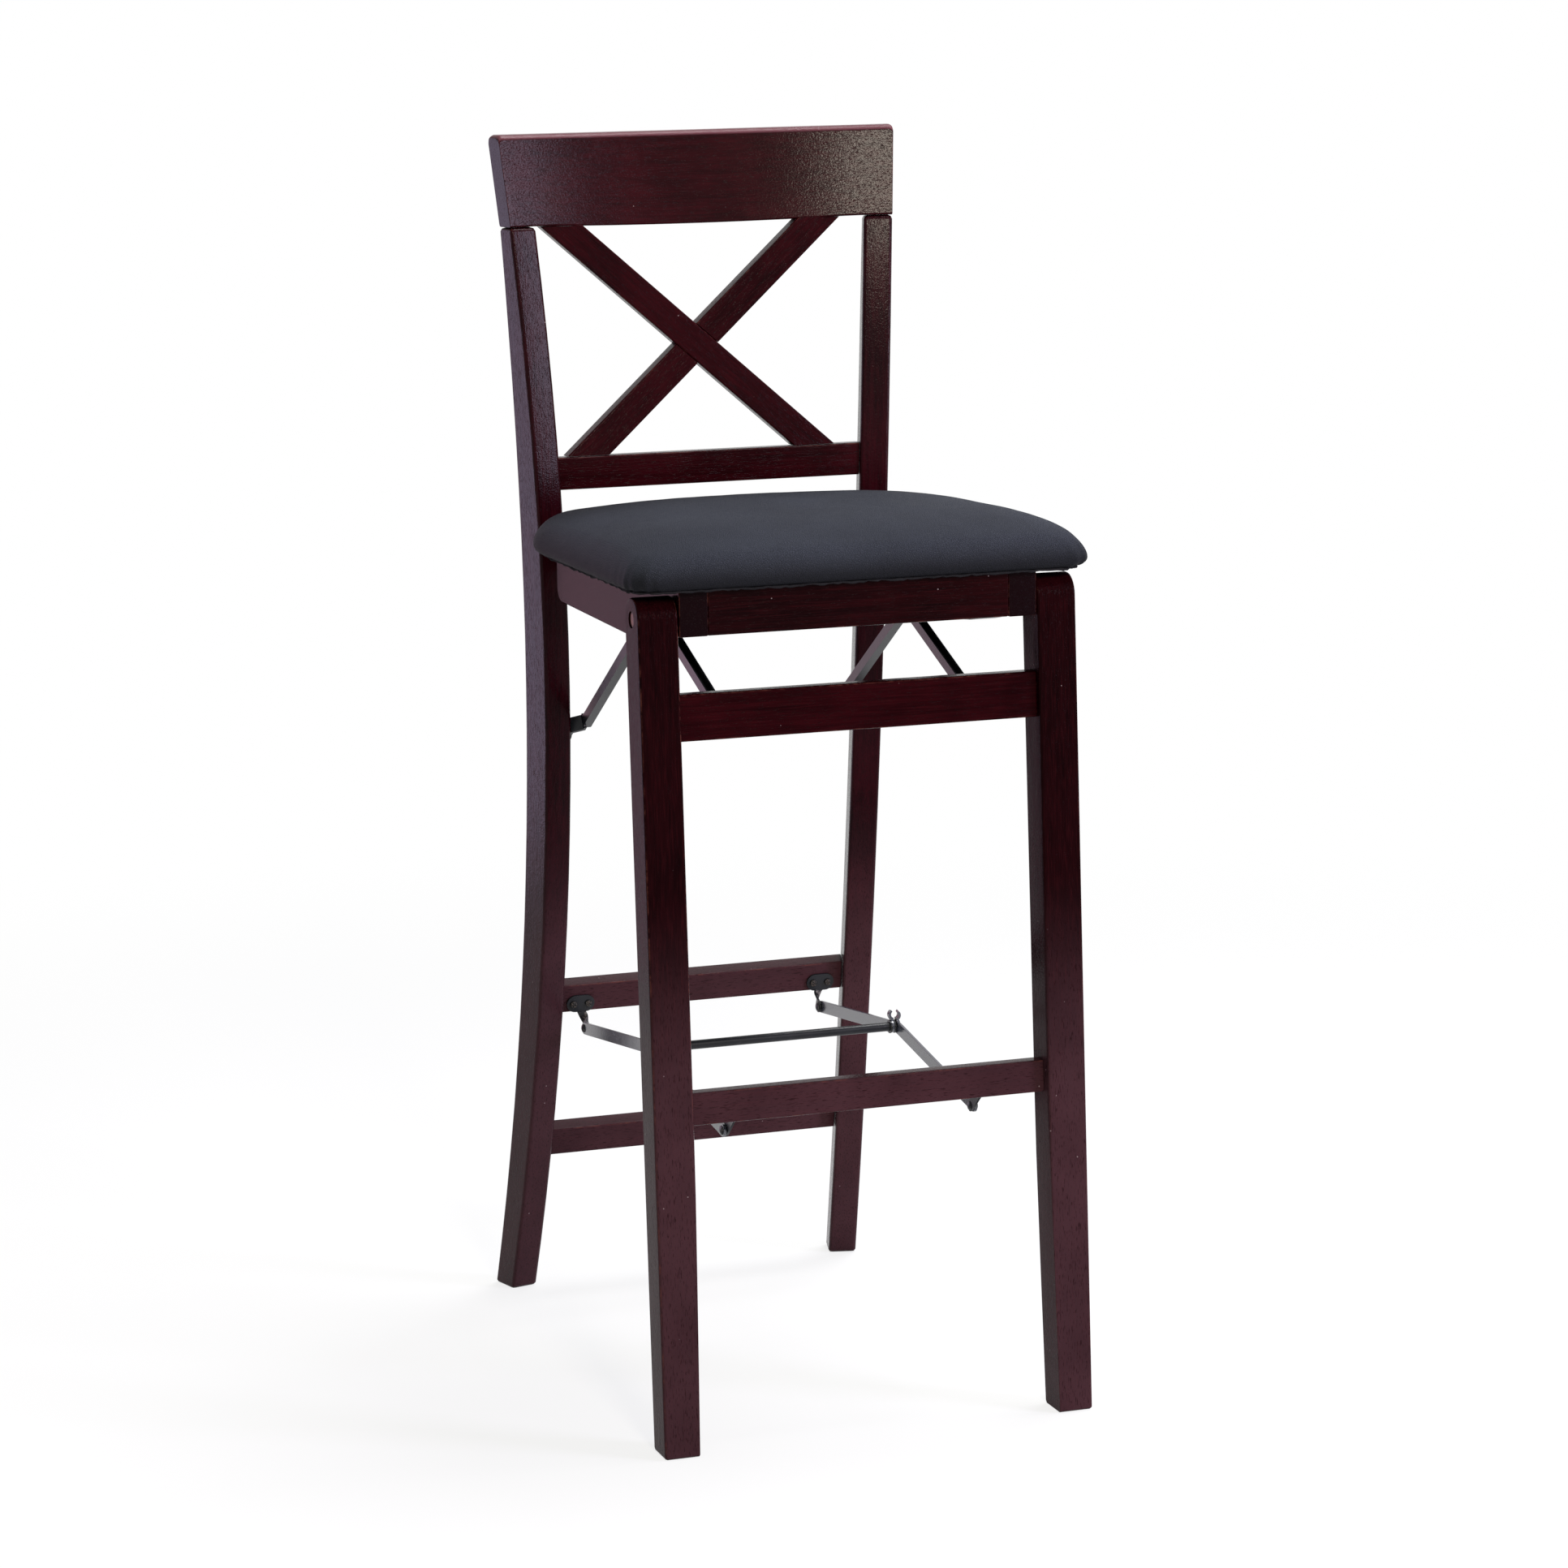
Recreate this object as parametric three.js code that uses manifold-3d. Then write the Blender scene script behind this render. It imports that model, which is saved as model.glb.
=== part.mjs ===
// Folding bar stool: a standing rear frame, a seat that hangs between it and a swinging front frame,
// two pairs of pressed braces under the seat and a folding stay between the lower rails.
// Millimetres, +Z up, front towards -Y, +X to the right of someone who looks at the front.
// Pieces are modelled with Y = 0 at the front feet; the last group moves the origin under the middle.

import * as THREE from 'three';
import { mergeVertices } from 'three/addons/utils/BufferGeometryUtils.js';
import Module from 'manifold-3d';

const wasm = await Module();
wasm.setup();

// Whole stool: the seat's pivots, the upper rail and the back are set out from the seat's deck
const seatDeckHeight = 716;
const fitGap = 0.3;
const cutOverrun = 5;
const railEdgeRadius = 2.2;
const roundSteps = 16;
const domeShares = [0, 0.35, 0.7];
const easeShares = [0, 0.5, 1];

// Rear posts: planar curved boards, turned in plan so that their front faces look inwards
const rearFootSpread = 338.4;
const waistSetback = 406.8;
const waistHeight = 701;
const footSweep = 125.1;
const crestSweep = 30.6;
const postWidth = 25.8;
const postDepth = 36.8;
const postDeepestHeight = 490;
const postFootThinning = 5.9;
const postTopThinning = 16.8;
const postEdgeRadius = 3;
const postTopRadius = 3.6;
const footChamfer = 2;
const postSteps = 22;
const postTurnAngle = THREE.MathUtils.degToRad(14.7);
const postSplayAngle = THREE.MathUtils.degToRad(2.08);
const postPowerShares = { foot: 1.9, crest: 2, footDepth: 1.6, topDepth: 2.3 };

// Crest rail: bowed to the rear, flush with the posts' outer faces
const crestHeight = 79.9;
const crestThickness = 19;
const crestDip = 1.2;
const crestSag = 3;
const crestSagShare = 0.82;
const crestTopRadius = 5;
const crestLowRadius = 2;
const crestEndRadius = 4.5;
const crestEndShares = [0, 0.12, 0.4, 0.7];
const crestSteps = 18;

// Back lower rail and the two crossed bars
const backRailRise = 52.9;
const backRailMiddle = seatDeckHeight + backRailRise;
const backRailHeight = 28.7;
const backRailThickness = 18;
const backRailInset = 3.6;
const backOpeningHeight = 201.05;
const barWidth = 26;
const barThickness = 16;
const barTopSpread = 240;
const barLowSpread = 210;
const crossOffset = 7;

// Rear stretchers
const upperStretcherMiddle = 283.9;
const lowerStretcherMiddle = 142.3;
const stretcherHeight = 26.6;
const stretcherThickness = 19;
const stretcherInset = 12;

// Front frame
const frontFrameWidth = 380;
const legWidth = 34.3;
const legFootWidth = 30;
const legFootDepth = 32.5;
const legTopRadius = 18;
const legTaperHeight = 260;
const legEdgeRadius = 2.4;
const legPivotSetback = 50.7;
const legPivotDrop = 24.5;
const legPivotHeight = seatDeckHeight - legPivotDrop;
const legLeanAngle = Math.atan2(legPivotSetback - legTopRadius, legPivotHeight);
const upperRailDrop = 105.4;
const upperRailMiddle = seatDeckHeight - upperRailDrop;
const upperRailHeight = 38.4;
const upperRailThickness = 18;
const upperRailInset = 6.5;
const footRailMiddle = 288;
const footRailHeight = 27.2;
const footRailThickness = 17;
const footRailInset = 9.8;

// Seat frame
const legRailGap = 0.7;
const seatRailThickness = 25;
const seatRailFront = 33;
const seatRailLength = 349;
const seatRailHeight = 56;
const seatRailFrontRise = 17;
const seatRailFrontRun = 127;
const seatRailRearRise = 2.5;
const seatRailRearRadius = 13;
const seatRailEdgeRadius = 1.5;
const apronHeight = 39;
const apronThickness = 18;
const cleatLength = 150;
const cleatHeight = 24;
const cleatThickness = 13;
const cleatDrop = 1;

// Seat board, lining and cushion
const liningThickness = 1.4;
const boardThickness = 12;
const boardEdge = 8.7;
const cushionOverhang = 11;
const cushionDepth = 373;
const cushionFront = 15;
const cushionFrontRadius = 24;
const cushionRearRadius = 110;
const cushionCrownRise = 46;
const cushionTop = seatDeckHeight + cushionCrownRise;
const cushionEdgeHeight = 18;
const cushionBulge = 2.5;
const cushionShoulder = 16;
const cushionCornerSteps = 7;
const cushionStraightSteps = 6;
const cushionSideShares = [[0, 1], [0.22, 0.3], [0.5, 0], [0.82, 0.25]];
const cushionShoulderShares = [0.25, 0.6, 1];
const cushionCrownShares = [1, 0.93, 0.82, 0.68, 0.52, 0.35, 0.18];
const crownPowerShares = { across: 2.4, whole: 0.7 };
const cornerLimitShare = 0.8;

// Leg pivots
const legBoltRadius = 4;
const legBoltHeadRadius = 6.2;
const legBoltHeadHeight = 4.5;
const legBoltReach = 15;
const pivotClearance = 0.4;
const counterboreRadius = 7;
const counterboreDepth = 12.3;
const plugHeight = 4.6;
const plugRecess = 1.4;

// Braces under the seat: rear ones swing on the posts, front ones on the upper rail
const rearBracePivotSetback = 438;
const rearBracePivotHeight = 537;
const seatPivotSetback = 185;
const seatPivotDrop = 21;
const seatPivotHeight = seatDeckHeight - seatPivotDrop;
const frontBracePivotSetback = 74;
const frontBracePivotDrop = 105.5;
const frontBracePivotHeight = seatDeckHeight - frontBracePivotDrop;
const braceJointDistance = 51;
const braceWidth = 8;
const braceDepth = 9;
const braceWall = 1.3;
const braceRailDistance = 11.5;
const braceSpacing = 8.9;
const braceFootLength = 16;
const braceFootHeight = 14;
const braceFootMiddle = 131.4;
const braceFootThickness = 2.4;
const braceFootRadius = 8.5;
const bracePinRadius = 3;
const bracePinReach = 13;
const braceCollarRadius = 6;
const braceHeadRadius = 5;
const braceHeadHeight = 1.8;
const braceBracketThickness = 2;
const braceBracketWidth = 22;
const braceBracketHeight = 30;

// Folding stay: rear links on the rear stretcher, front links on the foot rail, one cross rod
const rearLinkPivotSetback = 464;
const rearLinkPivotHeight = 257.5;
const kneeSetback = 268;
const kneeHeight = 281.6;
const frontLinkPivotSetback = 72.6;
const frontLinkPivotHeight = 255.4;
const rearLinkInside = 109.3;
const rearLinkDrift = 3.4;
const frontLinkDrift = -3.2;
const linkThickness = 2.5;
const linkWidth = 11;
const linkRunningGap = 0.4;
const crossRodRadius = 4;
const kneeWasherRadius = 6;
const kneeWasherThickness = 1.5;
const fingerHeight = 7;
const fingerBulge = 1.9;
const fingerWidth = 5.5;
const fingerThickness = 2;
const linkRivetRadius = 2.2;
const linkRivetHeadRadius = 4;
const linkRivetHeadHeight = 1.7;

// Hinge plates on the upper stretcher and brackets behind the foot rail
const plateMiddle = 115.4;
const plateWidth = 26;
const plateHeight = 16;
const plateThickness = 2;
const plateDrop = 4.4;
const plateScrewSpacing = 14;
const plateScrewRadius = 1.8;
const plateScrewHeadRadius = 3.2;
const plateScrewHeadHeight = 1.5;
const tongueWidth = 8;
const tongueThickness = 2;
const tongueEyeRadius = 5;
const tongueSteps = 10;
const twistRunShare = 0.8;
const linkBracketWidth = 16;
const linkBracketHeight = 22;

// Derived places
const postTop = backRailMiddle + backRailHeight / 2 + fitGap + backOpeningHeight;
const overallHeight = postTop + crestHeight;
const legInside = frontFrameWidth / 2 - legWidth;
const seatRailOutside = legInside - legRailGap;
const seatRailInside = seatRailOutside - seatRailThickness;
const seatRailLow = seatDeckHeight - seatRailHeight;
const apronLow = seatRailLow + seatRailFrontRise;
const seatRailRear = seatRailFront + seatRailLength;
const boardLow = seatDeckHeight + liningThickness + fitGap;
const cushionWidth = frontFrameWidth + cushionOverhang * 2;
const rearBraceMiddle = seatRailInside - braceRailDistance;
const frontBraceMiddle = rearBraceMiddle - braceSpacing;
const kneeWasherInside = rearLinkInside - kneeWasherThickness;
const frontLinkInside = rearLinkInside + linkThickness + kneeWasherThickness + linkRunningGap;
const tongueInside = rearLinkInside + rearLinkDrift - linkRunningGap - tongueThickness;
const linkLugInside = frontLinkInside + frontLinkDrift - linkRunningGap - tongueThickness;

// Geometry helpers
const extrusionAlongX = new THREE.Matrix4().makeBasis(
  new THREE.Vector3(0, 1, 0), new THREE.Vector3(0, 0, 1), new THREE.Vector3(1, 0, 0));
const extrusionAlongY = new THREE.Matrix4().makeBasis(
  new THREE.Vector3(1, 0, 0), new THREE.Vector3(0, 0, 1), new THREE.Vector3(0, -1, 0));
const turningAlongX = new THREE.Matrix4().makeBasis(
  new THREE.Vector3(0, 1, 0), new THREE.Vector3(1, 0, 0), new THREE.Vector3(0, 0, -1));

function signedVolume(positions, index) {
  const a = new THREE.Vector3();
  const b = new THREE.Vector3();
  const c = new THREE.Vector3();
  let volume = 0;
  for (let i = 0; i < index.length; i += 3) {
    a.fromArray(positions, index[i] * 3);
    b.fromArray(positions, index[i + 1] * 3);
    c.fromArray(positions, index[i + 2] * 3);
    volume += a.dot(b.cross(c));
  }
  return volume;
}

// One closed body: shared corners merged, flat triangles dropped, faces pointing out
function closed(geometry) {
  const bare = new THREE.BufferGeometry();
  bare.setAttribute('position', geometry.attributes.position.clone());
  bare.setIndex(geometry.index);
  const merged = mergeVertices(bare);
  const source = merged.index.array;
  const index = [];
  for (let i = 0; i < source.length; i += 3) {
    const [a, b, c] = [source[i], source[i + 1], source[i + 2]];
    if (a !== b && b !== c && c !== a) index.push(a, b, c);
  }
  if (signedVolume(merged.attributes.position.array, index) < 0) index.reverse();
  merged.setIndex(index);
  return merged;
}

function mirrored(geometry, x, y, z) {
  return closed(geometry.clone().applyMatrix4(new THREE.Matrix4().makeScale(x, y, z)));
}

function solidOf(geometry) {
  const triVerts = new Uint32Array(geometry.index.array);
  const vertProperties = geometry.attributes.position.array;
  return new wasm.Manifold(new wasm.Mesh({ numProp: 3, vertProperties, triVerts }));
}

function geometryOf(solid) {
  const mesh = solid.getMesh();
  const geometry = new THREE.BufferGeometry();
  geometry.setAttribute('position', new THREE.BufferAttribute(new Float32Array(mesh.vertProperties), 3));
  geometry.setIndex(new THREE.BufferAttribute(new Uint32Array(mesh.triVerts), 1));
  return geometry;
}

function cut(geometry, ...tools) {
  return geometryOf(tools.reduce((solid, tool) => solid.subtract(solidOf(tool)), solidOf(geometry)));
}

function joined(geometry, ...others) {
  return geometryOf(others.reduce((solid, other) => solid.add(solidOf(other)), solidOf(geometry)));
}

function common(geometry, other) {
  return geometryOf(solidOf(geometry).intersect(solidOf(other)));
}

function extruded(shape, depth) {
  return new THREE.ExtrudeGeometry(shape, { depth, curveSegments: roundSteps / 2, bevelEnabled: false });
}

// An outline drawn in (Y, Z), drawn out along X
function alongX(shape, from, to) {
  return closed(extruded(shape, to - from).applyMatrix4(extrusionAlongX).translate(from, 0, 0));
}

// An outline drawn in (X, Z), drawn out along Y
function alongY(shape, from, to) {
  return closed(extruded(shape, to - from).applyMatrix4(extrusionAlongY).translate(0, to, 0));
}

// A convex outline moved inwards by the given distance
function insetOutline(points, distance) {
  return points.map((point, i) => {
    const before = point.clone().sub(points[(i + points.length - 1) % points.length]).normalize();
    const after = points[(i + 1) % points.length].clone().sub(point).normalize();
    const inward = new THREE.Vector2(-before.y - after.y, before.x + after.x);
    return point.clone().addScaledVector(inward, distance / (1 + before.dot(after)));
  });
}

// A convex outline in (Y, Z), counter-clockwise, drawn out along X with rounded edges on both faces
function roundedBoard(shape, from, to, edgeRadius) {
  const outline = shape.getPoints(roundSteps / 2);
  if (outline[0].equals(outline.at(-1))) outline.pop();
  const quarters = easeShares.map((share) => share * Math.PI / 2);
  const steps = quarters.map((angle) => ({
    depth: edgeRadius * (1 - Math.sin(angle)),
    inset: edgeRadius * (1 - Math.cos(angle)),
  }));
  const rings = [
    ...steps.toReversed().map(({ depth, inset }) => [from + depth, inset]),
    ...steps.map(({ depth, inset }) => [to - depth, inset]),
  ];
  return loft(rings.map(([x, inset]) => insetOutline(outline, inset)
    .map((point) => new THREE.Vector3(x, point.x, point.y))));
}

// A profile of (radius, X) points, turned about X
function turned(profile) {
  return closed(new THREE.LatheGeometry(profile, roundSteps).applyMatrix4(turningAlongX));
}

function flatEnd(radius, at) {
  return [new THREE.Vector2(radius, at), new THREE.Vector2(0, at)];
}

function domeEnd(radius, from, to) {
  const curve = domeShares.map((share) => new THREE.Vector2(
    radius * Math.cos(share * Math.PI / 2), from + (to - from) * Math.sin(share * Math.PI / 2)));
  return [...curve, new THREE.Vector2(0, to)];
}

function collar(radius, from, to) {
  return [new THREE.Vector2(radius, from), new THREE.Vector2(radius, to)];
}

function drill(radius, from, to, y, z) {
  return turned([...flatEnd(radius, from).reverse(), ...flatEnd(radius, to)]).translate(0, y, z);
}

function polygon(points) {
  return new THREE.Shape(points.map(([a, b]) => new THREE.Vector2(a, b)));
}

// A bar outline with round ends: from the origin to (length, 0)
function stadium(length, radius) {
  const shape = new THREE.Shape();
  shape.absarc(length, 0, radius, -Math.PI / 2, Math.PI / 2);
  shape.absarc(0, 0, radius, Math.PI / 2, Math.PI * 3 / 2);
  return shape;
}

// A ring of corners with each corner eased over the given length
function softRing(corners, radii) {
  return corners.flatMap((corner, i) => {
    const before = corners[(i + corners.length - 1) % corners.length].clone().sub(corner).setLength(radii[i]);
    const after = corners[(i + 1) % corners.length].clone().sub(corner).setLength(radii[i]);
    return easeShares.map((share) => corner.clone()
      .addScaledVector(before, (1 - share) ** 2)
      .addScaledVector(after, share ** 2));
  });
}

// A skin through rings of equal count, closed by a fan at each end
function loft(rings) {
  const count = rings[0].length;
  const last = (rings.length - 1) * count;
  const index = [];
  for (let start = 0; start < last; start += count) {
    for (let i = 0; i < count; i += 1) {
      const here = start + i;
      const next = start + (i + 1) % count;
      index.push(here, next, next + count, here, next + count, here + count);
    }
  }
  for (let i = 1; i + 1 < count; i += 1) index.push(0, i + 1, i, last, last + i, last + i + 1);
  const geometry = new THREE.BufferGeometry();
  const positions = rings.flat().flatMap((point) => point.toArray());
  geometry.setAttribute('position', new THREE.Float32BufferAttribute(positions, 3));
  geometry.setIndex(index);
  return closed(geometry);
}

// Outer front edge of a rear post, its depth and its inner face
function postFrontY(z) {
  if (z < waistHeight) {
    return waistSetback + footSweep * (1 - z / waistHeight) ** postPowerShares.foot;
  }
  const share = (z - waistHeight) / (overallHeight - waistHeight);
  return waistSetback + crestSweep * share ** postPowerShares.crest;
}

function postFrontX(z) {
  const sweep = postFrontY(0) - postFrontY(z);
  return rearFootSpread / 2 - Math.tan(postTurnAngle) * sweep + Math.tan(postSplayAngle) * z;
}

function postDepthAt(z) {
  if (z < postDeepestHeight) {
    return postDepth - postFootThinning * (1 - z / postDeepestHeight) ** postPowerShares.footDepth;
  }
  const share = (z - postDeepestHeight) / (postTop - postDeepestHeight);
  return postDepth - postTopThinning * share ** postPowerShares.topDepth;
}

function postInnerX(y, z) {
  const cornerX = postFrontX(z) - postWidth * Math.cos(postTurnAngle);
  const cornerY = postFrontY(z) + postWidth * Math.sin(postTurnAngle);
  return cornerX + (y - cornerY) * Math.tan(postTurnAngle);
}

function postRing(z, inset) {
  const inward = new THREE.Vector3(-Math.cos(postTurnAngle), Math.sin(postTurnAngle), 0);
  const rearward = new THREE.Vector3(Math.sin(postTurnAngle), Math.cos(postTurnAngle), 0);
  const width = postWidth - inset * 2;
  const depth = postDepthAt(z) - inset * 2;
  const outerFront = new THREE.Vector3(postFrontX(z), postFrontY(z), z)
    .addScaledVector(inward, inset)
    .addScaledVector(rearward, inset);
  const outerRear = outerFront.clone().addScaledVector(rearward, depth);
  const innerRear = outerRear.clone().addScaledVector(inward, width);
  const innerFront = outerFront.clone().addScaledVector(inward, width);
  return softRing([outerFront, outerRear, innerRear, innerFront], Array(4).fill(postEdgeRadius));
}

function rearPost() {
  const rings = [postRing(0, footChamfer / 2), postRing(footChamfer, 0)];
  const shaftTop = postTop - postTopRadius;
  for (let step = 1; step < postSteps; step += 1) {
    rings.push(postRing(footChamfer + (shaftTop - footChamfer) * step / postSteps, 0));
  }
  for (const share of easeShares) {
    const angle = share * Math.PI / 2;
    rings.push(postRing(shaftTop + postTopRadius * Math.sin(angle), postTopRadius * (1 - Math.cos(angle))));
  }
  const inside = postInnerX(rearBracePivotSetback, rearBracePivotHeight);
  const hole = drill(bracePinRadius + pivotClearance, inside - cutOverrun, inside + bracePinReach + fitGap,
    rearBracePivotSetback, rearBracePivotHeight);
  return cut(loft(rings), hole);
}

// A point of the crest rail: turn about the bow's centre, depth behind the front face, height
function crestPoint(turn, depth, z) {
  const radius = postFrontX(z) / Math.sin(postTurnAngle);
  const centreY = postFrontY(z) - radius * Math.cos(postTurnAngle);
  return new THREE.Vector3((radius + depth) * Math.sin(turn), centreY + (radius + depth) * Math.cos(turn), z);
}

function crestRing(turn, endDistance) {
  const share = turn / postTurnAngle;
  const rest = Math.max(crestEndRadius - endDistance, 0);
  const endDrop = crestEndRadius - Math.sqrt(crestEndRadius ** 2 - rest ** 2);
  const high = overallHeight - crestDip * (1 - share ** 2) - endDrop;
  const low = postTop + fitGap - crestSag * Math.max(1 - (share / crestSagShare) ** 2, 0);
  const corners = [[0, low], [crestThickness, low], [crestThickness, high], [0, high]];
  const radii = [crestLowRadius, crestLowRadius, crestTopRadius, crestTopRadius];
  const flat = softRing(corners.map(([depth, z]) => new THREE.Vector3(depth, z, 0)), radii);
  return flat.map((point) => crestPoint(turn, point.x, point.y));
}

function crestRail() {
  const bowRadius = postFrontX(overallHeight) / Math.sin(postTurnAngle);
  const endTurn = crestEndRadius / bowRadius;
  const rings = crestEndShares.map((share) => (
    crestRing(endTurn * share - postTurnAngle, crestEndRadius * share)));
  for (let step = 0; step <= crestSteps; step += 1) {
    rings.push(crestRing((postTurnAngle - endTurn) * (step * 2 / crestSteps - 1), crestEndRadius));
  }
  for (const share of crestEndShares.toReversed()) {
    rings.push(crestRing(postTurnAngle - endTurn * share, crestEndRadius * share));
  }
  return loft(rings);
}

// A cross rail between two mirrored end faces; the lean is the run in Y for each unit of height
function crossRail({ front, middle, height, thickness, lean }, endX) {
  const up = new THREE.Vector3(0, lean, 1).normalize();
  const back = new THREE.Vector3(0, up.z, -up.y);
  const frontLow = new THREE.Vector3(0, front, middle).addScaledVector(up, -height / 2);
  const frontHigh = frontLow.clone().addScaledVector(up, height);
  const corners = [frontLow, frontLow.clone().addScaledVector(back, thickness),
    frontHigh.clone().addScaledVector(back, thickness), frontHigh];
  const ring = softRing(corners, Array(4).fill(railEdgeRadius));
  const ends = [-1, 1].map((side) => ring.map((point) => new THREE.Vector3(
    side * endX(point.y, point.z), point.y, point.z)));
  return loft(ends);
}

// A cross rail of the rear frame, set back from the posts' inner front corners
function rearRail(middle, height, thickness, inset) {
  return {
    front: postFrontY(middle) + postWidth * Math.sin(postTurnAngle) + inset,
    middle,
    height,
    thickness,
    lean: (postFrontY(middle + height / 2) - postFrontY(middle - height / 2)) / height,
  };
}

// A cross rail of the front frame, set back from the legs' front faces
function frontRail(middle, height, thickness, inset) {
  const lean = Math.tan(legLeanAngle);
  return { front: lean * middle + inset, middle, height, thickness, lean };
}

const backRail = rearRail(backRailMiddle, backRailHeight, backRailThickness, backRailInset);
const upperStretcher = rearRail(upperStretcherMiddle, stretcherHeight, stretcherThickness, stretcherInset);
const lowerStretcher = rearRail(lowerStretcherMiddle, stretcherHeight, stretcherThickness, stretcherInset);
const upperRail = frontRail(upperRailMiddle, upperRailHeight, upperRailThickness, upperRailInset);
const footRail = frontRail(footRailMiddle, footRailHeight, footRailThickness, footRailInset);

function postEndX(y, z) {
  return postInnerX(y, z) - fitGap;
}

// One bar of the cross, or the room that the other bar takes at the half lap
function crossBar(side, width, front, back, radius) {
  const lowZ = backRailMiddle + backRailHeight / 2 + fitGap;
  const crestMiddle = crestPoint(Math.asin(barTopSpread / 2 * Math.sin(postTurnAngle) / postFrontX(postTop)),
    crestThickness / 2, postTop);
  const levels = [
    { x: -side * barLowSpread / 2 - crossOffset, y: backRail.front + backRailThickness / 2, z: lowZ },
    { x: side * barTopSpread / 2 - crossOffset, y: crestMiddle.y, z: postTop },
  ];
  const run = levels[1].x - levels[0].x;
  const rise = levels[1].z - levels[0].z;
  const halfWidth = width / 2 * Math.hypot(run, rise) / rise;
  return loft(levels.map(({ x, y, z }) => {
    const corners = [[-halfWidth, front], [halfWidth, front], [halfWidth, back], [-halfWidth, back]];
    const ring = corners.map(([across, depth]) => new THREE.Vector3(x + across, y + depth, z));
    return radius > 0 ? softRing(ring, Array(4).fill(radius)) : ring;
  }));
}

function backBars() {
  const half = barThickness / 2;
  const lapWidth = barWidth + fitGap * 2;
  const whole = [-1, 1].map((side) => crossBar(side, barWidth, -half, half, railEdgeRadius));
  const roomBehind = crossBar(1, lapWidth, -fitGap / 2, half + cutOverrun, 0);
  const roomInFront = crossBar(-1, lapWidth, -half - cutOverrun, fitGap / 2, 0);
  const crest = crestRail().translate(0, 0, -fitGap);
  return [cut(whole[0], roomBehind, crest), cut(whole[1], roomInFront, crest)];
}

// Front leg: tapered board with a round top about its pivot, its inner face tapered towards the foot
function frontLeg() {
  const pivot = new THREE.Vector2(legPivotSetback, legPivotHeight);
  const tangentAngle = (foot, side) => {
    const away = foot.clone().sub(pivot);
    return away.angle() + side * Math.acos(legTopRadius / away.length());
  };
  const frontFoot = new THREE.Vector2(0, 0);
  const rearFoot = new THREE.Vector2(legFootDepth, 0);
  const outline = new THREE.Shape();
  outline.moveTo(footChamfer, 0);
  outline.lineTo(legFootDepth - footChamfer, 0);
  outline.lineTo(legFootDepth, footChamfer);
  outline.absarc(pivot.x, pivot.y, legTopRadius, tangentAngle(rearFoot, 1), tangentAngle(frontFoot, -1));
  outline.lineTo(0, footChamfer);
  const outside = frontFrameWidth / 2;
  const footInside = outside - legFootWidth;
  const narrowing = (footInside - legInside) / legTaperHeight;
  const taper = alongY(polygon([
    [legInside - cutOverrun, -cutOverrun],
    [footInside + narrowing * cutOverrun, -cutOverrun],
    [legInside - narrowing * cutOverrun, legTaperHeight + cutOverrun],
    [legInside - cutOverrun, legTaperHeight + cutOverrun],
  ]), -cutOverrun, legPivotSetback + legTopRadius + cutOverrun);
  const bore = drill(legBoltRadius + pivotClearance, legInside - cutOverrun, outside, pivot.x, pivot.y);
  const counterbore = drill(counterboreRadius, outside - counterboreDepth, outside + cutOverrun,
    pivot.x, pivot.y);
  return cut(roundedBoard(outline, legInside, outside, legEdgeRadius), taper, bore, counterbore);
}

function legPlug() {
  const outside = frontFrameWidth / 2 - plugRecess;
  const radius = counterboreRadius - fitGap;
  const plug = turned([...flatEnd(radius, outside - plugHeight).reverse(), ...flatEnd(radius, outside)]);
  return plug.translate(0, legPivotSetback, legPivotHeight);
}

function legBolt() {
  const headSeat = frontFrameWidth / 2 - counterboreDepth + fitGap;
    const bolt = turned([
    ...flatEnd(legBoltRadius, seatRailOutside - legBoltReach).reverse(),
    new THREE.Vector2(legBoltRadius, headSeat),
    ...domeEnd(legBoltHeadRadius, headSeat, headSeat + legBoltHeadHeight),
  ]);
  return bolt.translate(0, legPivotSetback, legPivotHeight);
}

// Seat side rail: square top, low edge that rises to the apron's low edge in front, rounded rear corner
function seatSideRail() {
  const outline = new THREE.Shape();
  outline.moveTo(seatRailFront, seatDeckHeight);
  outline.lineTo(seatRailFront, apronLow);
  outline.bezierCurveTo(seatRailFront + seatRailFrontRun / 2, apronLow,
    seatRailFront + seatRailFrontRun / 2, seatRailLow, seatRailFront + seatRailFrontRun, seatRailLow);
  outline.absarc(seatRailRear - seatRailRearRadius, seatRailLow + seatRailRearRise + seatRailRearRadius,
    seatRailRearRadius, -Math.PI / 2, 0);
  outline.lineTo(seatRailRear, seatDeckHeight);
  const inside = seatRailInside;
  const outside = seatRailOutside;
  const legHole = drill(legBoltRadius + pivotClearance, outside - legBoltReach - fitGap, outside + cutOverrun,
    legPivotSetback, legPivotHeight);
  const braceHole = drill(bracePinRadius + pivotClearance, inside - cutOverrun,
    inside + bracePinReach + fitGap, seatPivotSetback, seatPivotHeight);
  return cut(roundedBoard(outline, inside, outside, seatRailEdgeRadius), legHole, braceHole);
}

function seatCrossRail(front) {
  const middle = apronLow + apronHeight / 2;
  const rail = { front, middle, height: apronHeight, thickness: apronThickness, lean: 0 };
  return crossRail(rail, () => seatRailInside);
}

// Bare batten behind the apron; its lower edge shows just under the apron
function seatCleat() {
  const front = seatRailFront + apronThickness;
  const low = apronLow - cleatDrop;
  const outline = polygon([
    [front, low], [front + cleatThickness, low],
    [front + cleatThickness, low + cleatHeight], [front, low + cleatHeight],
  ]);
  return alongX(outline, -cleatLength / 2, cleatLength / 2);
}

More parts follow.
